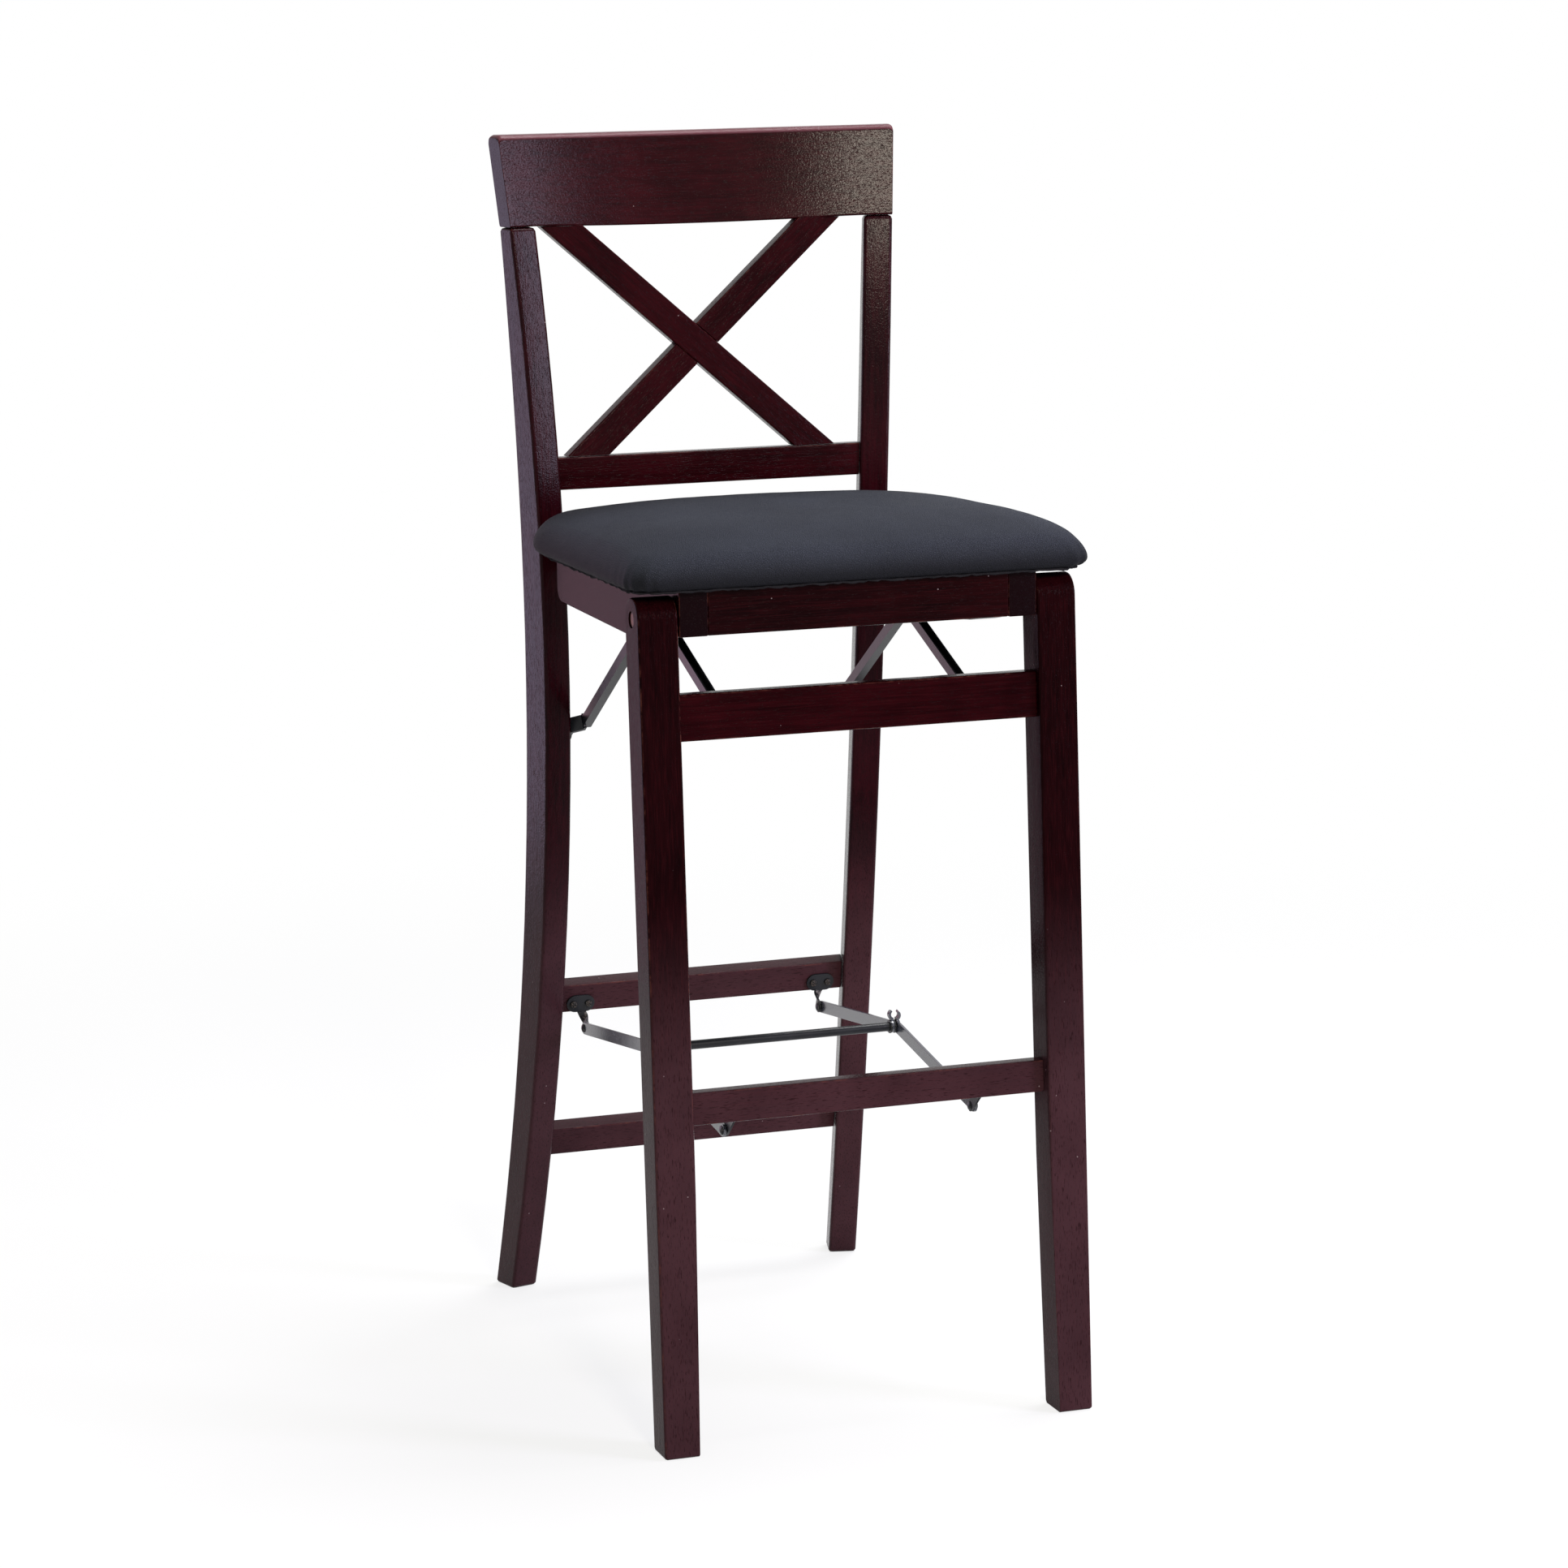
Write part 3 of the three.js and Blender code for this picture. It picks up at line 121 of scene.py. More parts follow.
def new_finish(name, constants):
    finish = bpy.data.materials.new(name)
    finish.use_nodes = True
    skin = finish.node_tree.nodes["Principled BSDF"]
    for socket, value in constants.items():
        skin.inputs[socket].default_value = value
    place = Wire(finish.node_tree).node("TexCoord", {}, {}, "Object")
    return finish, skin, place


def feed(skin, tone, gloss, relief, strength, depth):
    """Joins colour, gloss and relief to a finish, the relief as deep as given."""
    tree = tone.tree
    tree.links.new(tone.socket, skin.inputs["Base Color"])
    tree.links.new(gloss.socket, skin.inputs["Roughness"])
    bump = tone.node("Bump", {}, {"Strength": strength, "Distance": depth, "Height": relief})
    tree.links.new(bump.socket, skin.inputs["Normal"])


def cherry_lacquer(name, turn, shine, dark, red):
    """Stained open grain under satin lacquer, the grain turned to lie along the piece."""
    streak_width, streak_length = 0.0036, 30
    fibre_width = 0.0011
    pore_width, pore_length = 0.0007, 9
    patch_width, rub_width, dust_width = 0.075, 0.012, 0.03
    fine_peel, broad_peel = 0.0016, 0.0040
    floor_light_full, floor_light_gone = 0.27, 0.47
    top_low, top_high = 1.03, 1.05
    pale_fibre = (0.046, 0.005, 0.007, 1)
    painted_floor_light = (0.052, 0.023, 0.028, 1)
    open_pore = (0.006, 0.001, 0.0014, 1)
    dark_end = (0.0035, 0.0008, 0.0014, 1)
    painted_top_highlight = (0.110, 0.040, 0.050, 1)
    rubbed_wood = (0.11, 0.034, 0.026, 1)
    pale_dust = (0.30, 0.24, 0.24, 1)
    finish, skin, place = new_finish(name, {"IOR": shine})
    grain = place.turned(turn, streak_length)
    streak = grain.cloud(streak_width, 4, 0.6)
    fibre = grain.cloud(fibre_width, 2)
    pore = place.turned(turn, pore_length).cloud(pore_width, 1).rise(0.60, 0.68)
    patch = place.cloud(patch_width, 3, 0.55)
    height = place.part("Z")
    # Painted light: the lacquer is tinted paler and greyer towards the floor, standing in for light from
    # the floor.
    floor_light_mask = 1 - height.rise(floor_light_full, floor_light_gone)
    # End grain takes the stain darker, and it is painted near black, partly as painted shade on the end
    # faces.
    end = place.facing().turned(turn, 1).part("Z").maths("ABSOLUTE").rise(0.80, 0.95)
    # Painted highlight: top faces at the crest's height are painted lighter, as the light from above
    # falls on them.
    top_highlight_mask = place.facing().part("Z").rise(0.2, 0.6) * height.rise(top_low, top_high)
    rubbed = place.corners().rise(0.35, 1.0) * place.cloud(rub_width, 4, 0.7).rise(0.44, 0.66)
    speck = place.dust(62, 0.028, 0.045) * place.cloud(dust_width, 1).rise(0.46, 0.54)
    tone = (streak * 0.6 + patch * 0.6).rise(0.36, 0.84).tint(dark, red)
    tone = (fibre.rise(0.45, 0.75) * 0.16).tint(tone, pale_fibre)
    tone = (floor_light_mask * (0.30 + patch * 0.6)).tint(tone, painted_floor_light)
    tone = (pore * 0.6).tint(tone, open_pore)
    tone = (end * 0.9).tint(tone, dark_end)
    tone = (top_highlight_mask * 0.8).tint(tone, painted_top_highlight)
    tone = (rubbed * 0.5).tint(tone, rubbed_wood)
    tone = (speck * 0.45).tint(tone, pale_dust)
    gloss = 0.13 + patch * 0.10 + pore * 0.07 + rubbed * 0.15
    peel = place.cloud(fine_peel, 2) * 0.5 + place.cloud(broad_peel, 1) * 0.25
    relief = peel + fibre * 0.45 - pore * 0.4
    feed(skin, tone, gloss, relief, strength=0.26, depth=0.0009)
    return finish


def made_piece(name, shape, finish):
    """Turns a finished shape into a piece of the scene."""
    mesh = bpy.data.meshes.new(name)
    shape.to_mesh(mesh)
    shape.free()
    mesh.materials.append(finish)
    piece = bpy.data.objects.new(name, mesh)
    bpy.context.scene.collection.objects.link(piece)
    return piece


weld_distance = 0.000002
flat_angle = math.radians(0.5)
corner_angle = math.radians(56)
shading_angle = math.radians(62)
corner_width = 0.00095
corner_segments = 2
least_bend, bend_range = 30, 12


def rounded(shape, edges, radius, segments, held_back):
    bmesh.ops.bevel(shape, geom=edges, offset=radius, offset_type="OFFSET", segments=segments,
                    profile=0.5, affect="EDGES", clamp_overlap=held_back)


def dressed(node, finish, body, rounding, shaping=None):
    """Copies a node's shape, rounds its corners a little and marks them for wear."""
    shape = bmesh.new()
    shape.from_mesh(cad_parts[node].data)
    bmesh.ops.remove_doubles(shape, verts=shape.verts, dist=weld_distance)
    bmesh.ops.dissolve_limit(shape, angle_limit=flat_angle, verts=shape.verts, edges=shape.edges)
    if shaping:
        shaping(shape)
    if rounding:
        corners = [edge for edge in shape.edges if edge.calc_face_angle(0) > corner_angle]
        rounded(shape, corners, rounding, corner_segments, held_back=True)
    shape.normal_update()
    narrow = {face: face.calc_area() < corner_width * face.calc_perimeter() for face in shape.faces}
    bends = []
    for point in shape.verts:
        faces = [face.normal for face in point.link_faces if face.normal.length > 0.5]
        bend = max((a.angle(b) for i, a in enumerate(faces) for b in faces[:i]), default=0)
        bends.append(bend if all(narrow[face] for face in point.link_faces) else 0)
    for edge in shape.edges:
        edge.smooth = edge.calc_face_angle(0) < shading_angle
    for face in shape.faces:
        face.smooth = True
        face.material_index = 0
    piece = made_piece(node + "_finished", shape, finish)
    layers = piece.data.attributes
    if "custom_normal" in layers:
        layers.remove(layers["custom_normal"])
    wear = layers.new("corner", "FLOAT", "POINT")
    for i, bend in enumerate(bends):
        wear.data[i].value = min(max((math.degrees(bend) - least_bend) / bend_range, 0), 1)
    piece.modifiers.new("even_shading", "WEIGHTED_NORMAL").keep_sharp = True
    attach(piece, body)
    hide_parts(node)


upright = (0, 0, 0)
post_shine = 1.14
post_dark = (0.006, 0.0004, 0.0012, 1)
post_red = (0.020, 0.0015, 0.0036, 1)
lacquer_posts = cherry_lacquer("cherry_lacquer_posts", upright, post_shine, post_dark, post_red)
wood_rounding = 0.0007
for side in ("left", "right"):
    dressed("rear_post_" + side, lacquer_posts, "rear_frame", wood_rounding)

# Crest rail. A bowed board set on the post tops, its grain running from end to end.
# Its front ridge is rounded like a handrail, and its top faces carry a painted highlight.
crest_shine = 1.155
dark_cherry = (0.006, 0.0003, 0.0008, 1)
red_cherry = (0.020, 0.0009, 0.0024, 1)
sideways = (0, math.pi / 2, 0)
crest_ridge_rounding = 0.012
ridge_band = 0.015
crest_end = 0.006
ridge_segments = 6


def handrail_ridge(shape):
    """Rounds the edges along the top of the front, but not those at the two ends."""
    lowest = max(point.co.z for point in shape.verts) - ridge_band
    reach = max(point.co.x for point in shape.verts) - crest_end
    ridges = [edge for edge in shape.edges if edge.calc_face_angle(0) > corner_angle
              and min(point.co.z for point in edge.verts) > lowest
              and min(face.normal.y for face in edge.link_faces) < -0.5
              and max(abs(point.co.x) for point in edge.verts) < reach]
    rounded(shape, ridges, crest_ridge_rounding, ridge_segments, held_back=False)


lacquer_crest = cherry_lacquer("cherry_lacquer_crest", sideways, crest_shine, dark_cherry, red_cherry)
dressed("crest_rail", lacquer_crest, "rear_frame", wood_rounding, handrail_ridge)

# Crossed bars of the back. Two straight laths, half lapped where they cross.
# Their grain follows the slope of each bar, and their ends butt against crest and rail.
rail_shine = 1.12
bar_run, bar_rise = 0.225, 0.2
bar_slope = math.atan2(bar_run, bar_rise)
for letter, lean in (("a", -bar_slope), ("b", bar_slope)):
    lacquer_sloping = cherry_lacquer("cherry_lacquer_bar_" + letter, (0, lean, 0), rail_shine,
                                     dark_cherry, red_cherry)
    dressed("back_bar_" + letter, lacquer_sloping, "rear_frame", wood_rounding)

# Lower back rail and the two stretchers. Plain rails with eased edges, dowelled between the posts.
# The stretchers stand low, so the painted light from the floor makes them greyer than the rail behind the
# seat.
lacquer_across = cherry_lacquer("cherry_lacquer_across", sideways, rail_shine, dark_cherry, red_cherry)
for rail in ("back_lower_rail", "rear_stretcher_upper", "rear_stretcher_lower"):
    dressed(rail, lacquer_across, "rear_frame", wood_rounding)


# Hinge plates of the folding stay. Pressed oval plates with a twisted tongue, coated satin black.
# Two cross-head screws hold each plate to the upper stretcher, and a rivet holds the link.
def steel_coating(name, shine, matt, dark, light):
    """Thin paint over pressed steel, scuffed in short strokes and rubbed bare on the corners."""
    patch_width, rub_width, fine_width = 0.02, 0.007, 0.0012
    scuff_turn, scuff_length = (0.3, 1.1, 0.2), 14
    grey_scuff = (0.10, 0.10, 0.11, 1)
    bare_steel = (0.20, 0.18, 0.17, 1)
    finish, skin, place = new_finish(name, {"IOR": shine})
    patch = place.cloud(patch_width, 3, 0.6)
    fine = place.cloud(fine_width, 2)
    rubbed = place.corners().rise(0.4, 1.0) * place.cloud(rub_width, 4, 0.7).rise(0.46, 0.64)
    stroke = place.turned(scuff_turn, scuff_length).cloud(fine_width, 2)
    scuff = stroke.rise(0.63, 0.72) * patch.rise(0.4, 0.7)
    tone = patch.tint(dark, light)
    tone = (scuff * 0.3).tint(tone, grey_scuff)
    tone = (rubbed * 0.7).tint(tone, bare_steel)
    gloss = matt + patch * 0.14 + scuff * 0.12
    feed(skin, tone, gloss, fine * 0.5 + patch * 0.3, strength=0.16, depth=0.0004)
    return finish


black_shine, black_matt = 1.32, 0.26
black_dark = (0.004, 0.0045, 0.006, 1)
black_light = (0.012, 0.013, 0.016, 1)
black_steel = steel_coating("black_steel_coating", black_shine, black_matt, black_dark, black_light)
steel_rounding = 0.0003
for side in ("left", "right"):
    dressed("link_plate_" + side, black_steel, "rear_frame", steel_rounding)
    dressed("link_rivet_rear_" + side, black_steel, "rear_frame", 0)
    dressed("brace_rivet_" + side, black_steel, "rear_frame", 0)


# Screws of the hinge plates. Pan heads with a crossed slot, their bronze worn free of the black.
# Each head is a turned dome with the cross pressed in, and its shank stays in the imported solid.
def worn_bronze(name):
    dull_black = (0.010, 0.010, 0.010, 1)
    bronze = (0.034, 0.025, 0.020, 1)
    patch_width, fine_width = 0.0018, 0.0006
    finish, skin, place = new_finish(name, {"Metallic": 0.6})
    patch = place.cloud(patch_width, 3, 0.6)
    tone = patch.rise(0.4, 0.62).tint(dull_black, bronze)
    feed(skin, tone, 0.34 + patch * 0.2, place.cloud(fine_width, 2), strength=0.2, depth=0.0003)
    return finish


screw_finish = worn_bronze("worn_bronze_screw")
head_height = 0.0014
rim_height = 0.0004
head_seat = 0.0010
slot_half_width = 0.00042
slot_depth = 0.0009
slot_reach = 0.72
head_sides, head_rings = 32, 9
head_lean = Matrix.Rotation(math.radians(-4), 3, "X")


def ringed(shape, rows):
    """Faces between closed rows of points, each row to the next."""
    count = len(rows[0])
    for lower, upper in zip(rows, rows[1:]):
        for i in range(count):
            j = (i + 1) % count
            shape.faces.new((lower[i], lower[j], upper[j], upper[i]))


def smoothed(shape):
    bmesh.ops.recalc_face_normals(shape, faces=shape.faces)
    for face in shape.faces:
        face.smooth = True


def screw_head(node):
    low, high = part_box(node)
    radius = (high.x - low.x) / 2
    centre = Vector(((low.x + high.x) / 2, low.y, (low.z + high.z) / 2))
    shape = bmesh.new()
    rows = []
    for ring in range(head_rings):
        share = 1 - ring / head_rings
        row = []
        for i in range(head_sides):
            angle = math.tau * i / head_sides
            across = Vector((math.cos(angle), 0, math.sin(angle))) * radius * share
            rise = head_height * math.sqrt(max(1 - share ** 2, 0)) + rim_height
            arm = min(abs(across.x + across.z), abs(across.x - across.z)) / math.sqrt(2)
            if arm < slot_half_width and share < slot_reach:
                rise -= slot_depth
            row.append(shape.verts.new(centre + head_lean @ (across - Vector((0, rise - head_seat, 0)))))
        rows.append(row)
    ringed(shape, rows)
    shape.faces.new(rows[-1])
    shape.faces.new(reversed(rows[0]))
    smoothed(shape)
    piece = made_piece(node + "_head", shape, screw_finish)
    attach(piece, "rear_frame")
    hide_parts(node)


for side in ("left", "right"):
    screw_head("plate_screw_a_" + side)
    screw_head("plate_screw_b_" + side)

# Rear braces. Pressed steel channels from the posts to the seat rails, open on their upper side.
# The lower end of the outer wall is bent out into a foot that swings on a rivet in the post.
for side in ("left", "right"):
    dressed("rear_brace_" + side, black_steel, "rear_braces", steel_rounding)

# Seat frame. Two side rails with grain from front to back, joined by an apron and a rear rail.
# Dowels are out of sight. The rails carry the pivots of the legs and braces.
# Painted shade: the seat frame takes a darker copy of the back's lacquer, for the shade under the
# cushion.
shaded_shine = 1.1
shaded_dark = (0.003, 0.0003, 0.0006, 1)
shaded_red = (0.010, 0.0006, 0.0012, 1)
backwards = (math.pi / 2, 0, 0)
shaded_lacquer_lengthwise = cherry_lacquer("cherry_lacquer_lengthwise_painted_shade", backwards, shaded_shine,
                                    shaded_dark, shaded_red)
shaded_lacquer_seat = cherry_lacquer("cherry_lacquer_seat_painted_shade", sideways, shaded_shine, shaded_dark, shaded_red)
for side in ("left", "right"):
    dressed("seat_side_rail_" + side, shaded_lacquer_lengthwise, "seat", wood_rounding)
dressed("seat_front_apron", shaded_lacquer_seat, "seat", wood_rounding)
dressed("seat_rear_rail", shaded_lacquer_seat, "seat", wood_rounding)


# Cleat and seat board. Bare sawn softwood behind the apron, and a plywood board under the pad.
# Only a sliver of the cleat shows under the apron's edge.
def sawn_wood(name):
    streak_width, fibre_width, grain_length = 0.0035, 0.0008, 20
    pale_wood = (0.60, 0.36, 0.20, 1)
    brown_wood = (0.40, 0.20, 0.10, 1)
    light_fibre = (0.70, 0.48, 0.30, 1)
    finish, skin, place = new_finish(name, {"IOR": 1.4})
    grain = place.turned(sideways, grain_length)
    streak = grain.cloud(streak_width, 4, 0.6)
    fibre = grain.cloud(fibre_width, 2)
    tone = streak.rise(0.35, 0.7).tint(pale_wood, brown_wood)
    tone = (fibre.rise(0.5, 0.7) * 0.3).tint(tone, light_fibre)
    feed(skin, tone, 0.7 + fibre * 0.2, fibre + streak * 0.4, strength=0.5, depth=0.0006)
    return finish


bare_wood = sawn_wood("bare_sawn_wood")
cleat_rounding = 0.0004
board_rounding = 0.0006
dressed("seat_cleat", bare_wood, "seat", cleat_rounding)
dressed("seat_board", bare_wood, "seat", board_rounding)


# Lining. Thin black cloth stapled under the board, with its gathered hem just outside the staples.
# The hem is a rippled roll that follows the seat's plan a few millimetres inside the edge.
def lining_cloth(name):
    threads = 4200
    patch_width = 0.015
    black_thread = (0.005, 0.005, 0.006, 1)
    grey_thread = (0.017, 0.016, 0.018, 1)
    painted_thread_highlight = (0.03, 0.03, 0.032, 1)
    finish, skin, place = new_finish(name, {"IOR": 1.1})
    weave = (place.part("X") * threads).maths("SINE") * (place.part("Y") * threads).maths("SINE")
    patch = place.cloud(patch_width, 3)
    tone = patch.tint(black_thread, grey_thread)
    # Painted highlight: the raised crossings of the weave are painted lighter.
    tone = (weave.rise(0.2, 0.9) * 0.3).tint(tone, painted_thread_highlight)
    feed(skin, tone, 0.8 + patch * 0.15, weave + patch, strength=0.3, depth=0.0005)
    return finish


black_cloth = lining_cloth("black_lining_cloth")
dressed("seat_lining", black_cloth, "seat", 0)
seat_half_width = 0.201
seat_half_depth = 0.1865
seat_middle = -0.081967
front_corner = 0.024
rear_corner = 0.110
corner_limit = 0.8


def seat_plan(inset, corner_steps=26, straight_steps=34):
    """Points round the seat's plan, the given distance inside its edge."""
    across = seat_half_width - inset
    deep = seat_half_depth - inset
    front = min(front_corner, deep * corner_limit)
    rear = min(rear_corner, deep * corner_limit)
    corners = [(across - rear, deep - rear, rear), (rear - across, deep - rear, rear),
               (front - across, front - deep, front), (across - front, front - deep, front)]
    points = []
    for quarter, (x, y, radius) in enumerate(corners):
        for step in range(corner_steps):
            angle = (quarter + step / corner_steps) * math.pi / 2
            points.append(Vector((x + radius * math.cos(angle), y + radius * math.sin(angle), 0)))
        next_x, next_y, next_radius = corners[(quarter + 1) % 4]
        turn = (quarter + 1) * math.pi / 2
        start = Vector((x + radius * math.cos(turn), y + radius * math.sin(turn), 0))
        end = Vector((next_x + next_radius * math.cos(turn), next_y + next_radius * math.sin(turn), 0))
        points += [start.lerp(end, step / straight_steps) for step in range(straight_steps)]
    return points


def skinned(name, rows, finish, capped=True):
    """One mesh through rows of points, with its ends capped or joined to each other."""
    shape = bmesh.new()
    made = [[shape.verts.new(point) for point in row] for row in rows]
    count = len(rows[0])
    ringed(shape, made if capped else made + made[:1])
    if capped:
        for row in (made[0], made[-1]):
            middle = shape.verts.new(sum((point.co for point in row), Vector()) / count)
            for i in range(count):
                shape.faces.new((row[i], row[(i + 1) % count], middle))
    smoothed(shape)
    return made_piece(name, shape, finish)


hem_inset = 0.0085
hem_half_width, hem_half_height = 0.0022, 0.0014
hem_height = 0.7158
hem_ripple, hem_sink = 0.0024, 0.0016
ripples, sinks = 150, 210
hem_sides = 10
hem_rows = []
for side_number in range(hem_sides):
    angle = math.tau * side_number / hem_sides
    ring = []
    for point in seat_plan(hem_inset + hem_half_width * math.cos(angle), 40, 90):
        ripple = noise.noise(point * ripples) * hem_ripple
        sink = noise.noise(point * sinks + Vector((7, 3, 1))) * hem_sink
        height = hem_height + sink + hem_half_height * math.sin(angle)
        ring.append(point + point.normalized() * ripple + Vector((0, seat_middle, height)))
    hem_rows.append(ring)
lining_hem = skinned("lining_hem", hem_rows, black_cloth, capped=False)
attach(lining_hem, "seat")


# Cushion. Foam under charcoal leatherette, pulled over the board's edge and stapled below.
# It is crowned, rolls over at the rim, draws in at the bottom, and puckers at its front corners.
def charcoal_leatherette(name):
    cells, fine_width, patch_width, dust_width = 620, 0.0011, 0.06, 0.04
    rim_low, rim_high = 0.720, 0.744
    far_start, far_end = -0.10, 0.10
    charcoal = (0.0205, 0.0228, 0.0315, 1)
    slate = (0.0260, 0.0290, 0.0395, 1)
    painted_back_shade = (0.0030, 0.0032, 0.0045, 1)
    painted_shade_rim = (0.0055, 0.0055, 0.0065, 1)
    painted_crease_shade = (0.009, 0.0095, 0.011, 1)
    pale_dust = (0.30, 0.28, 0.28, 1)
    finish, skin, place = new_finish(name, {"IOR": 1.13})
    cell = place.node("TexVoronoi", {"feature": "DISTANCE_TO_EDGE"}, {"Vector": place, "Scale": cells})
    fine = place.cloud(fine_width, 3, 0.6)
    patch = place.cloud(patch_width, 3, 0.5)
    rim = 1 - place.part("Z").rise(rim_low, rim_high)
    far = place.part("Y").rise(far_start, far_end)
    speck = place.dust(34, 0.012, 0.022) * place.cloud(dust_width, 1).rise(0.5, 0.56)
    tone = patch.rise(0.3, 0.75).tint(charcoal, slate)
    # Painted shade: the cushion's top is painted darker towards the back.
    tone = (far * 0.9).tint(tone, painted_back_shade)
    # Painted shade: the bottom band of the cover, under the roll, is painted near black.
    tone = (rim * 0.85).tint(tone, painted_shade_rim)
    # Painted shade: the creases between the grain's pebbles are painted darker.
    tone = ((1 - cell.rise(0.0, 0.12)) * 0.35).tint(tone, painted_crease_shade)
    tone = (speck * 0.6).tint(tone, pale_dust)
    gloss = 0.58 + patch * 0.08 + fine * 0.06
    relief = cell.rise(0.0, 0.22) * 0.6 + fine * 0.5
    feed(skin, tone, gloss, relief, strength=0.7, depth=0.0010)
    return finish


cushion_low = 0.7172
cushion_rim = 0.736
cushion_top = 0.7618
roll = 0.015
front_power, rear_power, whole_power = 4.4, 2.1, 0.68
rear_fullness, fullness_gain = 3.0, 3.4
full_start, full_run = 0.45, 1.25


def crown(x, y):
    """Height of the cushion's top, fuller towards the front than at the rounded back."""
    along = abs(y / seat_half_depth)
    forward = min(max(full_start - y / seat_half_depth, 0) / full_run, 1)
    fullness = rear_fullness + fullness_gain * forward ** 2 * (3 - 2 * forward)
    over_width = 1 - min(abs(x / seat_half_width), 1) ** fullness
    over_depth = 1 - min(along, 1) ** (front_power if y < 0 else rear_power)
    return cushion_rim + (cushion_top - cushion_rim) * max(over_width * over_depth, 0) ** whole_power


even_tuck, corner_tuck = 0.0004, 0.0034
tuck_reach = 0.045
tuck_corner = 0.01
tucks = 170


def pucker(point, height):
    """How far a tuck draws the skin in, strongest at the bottom of the two front corners."""
    to_corner = Vector((abs(point.x) - seat_half_width + tuck_corner,
                        point.y + seat_half_depth - tuck_corner)).length
    near = math.exp(-(to_corner / tuck_reach) ** 2)
    angle = math.atan2(point.y, point.x)
    tuck = 0.5 + 0.5 * math.sin(angle * tucks + 3 * noise.noise(point * 30))
    low = max(1 - height, 0) ** 1.1
    return (even_tuck + corner_tuck * near) * tuck * low


hem_insets = (0.016, 0.011, 0.0075)
hem_rise = 0.0008
turn_width, turn_height, turn_steps = 0.0055, 0.0062, 8
wall_share = 0.7
roll_steps, top_steps, top_spacing = 12, 41, 0.004
broad_dent, broad_dents = 0.0006, 14
small_dent, small_dents = 0.0002, 45
rows = []
for inset in hem_insets:
    rows.append([point + Vector((0, seat_middle, cushion_low + hem_rise)) for point in seat_plan(inset)])
for step in range(turn_steps + 1):
    angle = math.pi / 2 * step / turn_steps
    inset = turn_width * (1 - math.sin(angle))
    height = cushion_low + turn_height * (1 - math.cos(angle))
    rows.append([point - point.normalized() * pucker(point, step / turn_steps * wall_share)
                 + Vector((0, seat_middle, height)) for point in seat_plan(inset)])
insets = [roll * (1 - math.cos(math.pi / 2 * step / roll_steps)) for step in range(1, roll_steps + 1)]
insets += [roll + top_spacing * step for step in range(1, top_steps + 1)]
for inset in insets:
    ring = []
    for point in seat_plan(inset):
        drop = max(1 - inset / roll, 0)
        top = crown(point.x, point.y)
        fall = (1 - math.sqrt(1 - drop ** 2)) * (top - cushion_low - turn_height)
        dent = noise.noise(Vector((point.x * broad_dents, point.y * broad_dents, 2))) * broad_dent
        dent += noise.noise(Vector((point.x * small_dents, point.y * small_dents, 5))) * small_dent
        draw = pucker(point, wall_share + (1 - wall_share) * min(inset / roll, 1))
        ring.append(point - point.normalized() * draw + Vector((0, seat_middle, top - fall + dent)))
    rows.append(ring)
leatherette = charcoal_leatherette("charcoal_leatherette")
cushion = skinned("seat_cushion_cover", rows, leatherette)
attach(cushion, "seat")
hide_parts("seat_cushion")


# Bolts and pins of the seat. Dull zinc bolts join the legs, and black pins carry the braces.
# The bolts sit in the legs under plugs, so only their edges could ever show.
def dull_zinc(name):
    dark_spangle = (0.08, 0.08, 0.085, 1)
    light_spangle = (0.17, 0.17, 0.18, 1)
    spangle_width, fine_width = 0.004, 0.0008
    finish, skin, place = new_finish(name, {"Metallic": 0.9})
    patch = place.cloud(spangle_width, 3, 0.6)
    tone = patch.tint(dark_spangle, light_spangle)
    feed(skin, tone, 0.38 + patch * 0.2, place.cloud(fine_width, 2), strength=0.2, depth=0.0003)
    return finish


dark_zinc = dull_zinc("dull_dark_zinc")
for side in ("left", "right"):
    dressed("leg_bolt_" + side, dark_zinc, "seat", 0)
    dressed("brace_pin_" + side, black_steel, "seat", 0)

# Front legs. Straight tapered boards with round tops that turn on the seat's bolts.
# They carry a darker copy of the lacquer as painted shade, greyer towards the foot with painted light
# from the floor.
leg_shine = 1.075
leg_shaded_dark = (0.0025, 0.0003, 0.0006, 1)
leg_shaded_red = (0.009, 0.0009, 0.0015, 1)
shaded_lacquer_legs = cherry_lacquer("cherry_lacquer_legs_painted_shade", upright, leg_shine, leg_shaded_dark, leg_shaded_red)
for side in ("left", "right"):
    dressed("front_leg_" + side, shaded_lacquer_legs, "front_frame", wood_rounding)


# Plugs. Stained wood buttons that close the counterbores over the leg bolts.
# The stain took redder on their end grain than on the legs.
def end_grain(name):
    ring_width = 0.0022
    dark_red = (0.055, 0.012, 0.006, 1)
    light_red = (0.19, 0.060, 0.030, 1)
    finish, skin, place = new_finish(name, {"IOR": 1.3})
    ring = place.cloud(ring_width, 3, 0.6)
    tone = ring.rise(0.35, 0.68).tint(dark_red, light_red)
    feed(skin, tone, 0.45 + ring * 0.2, ring, strength=0.4, depth=0.0005)
    return finish


red_plug = end_grain("red_end_grain")
plug_rounding = 0.0005
for side in ("left", "right"):
    dressed("leg_plug_" + side, red_plug, "front_frame", plug_rounding)

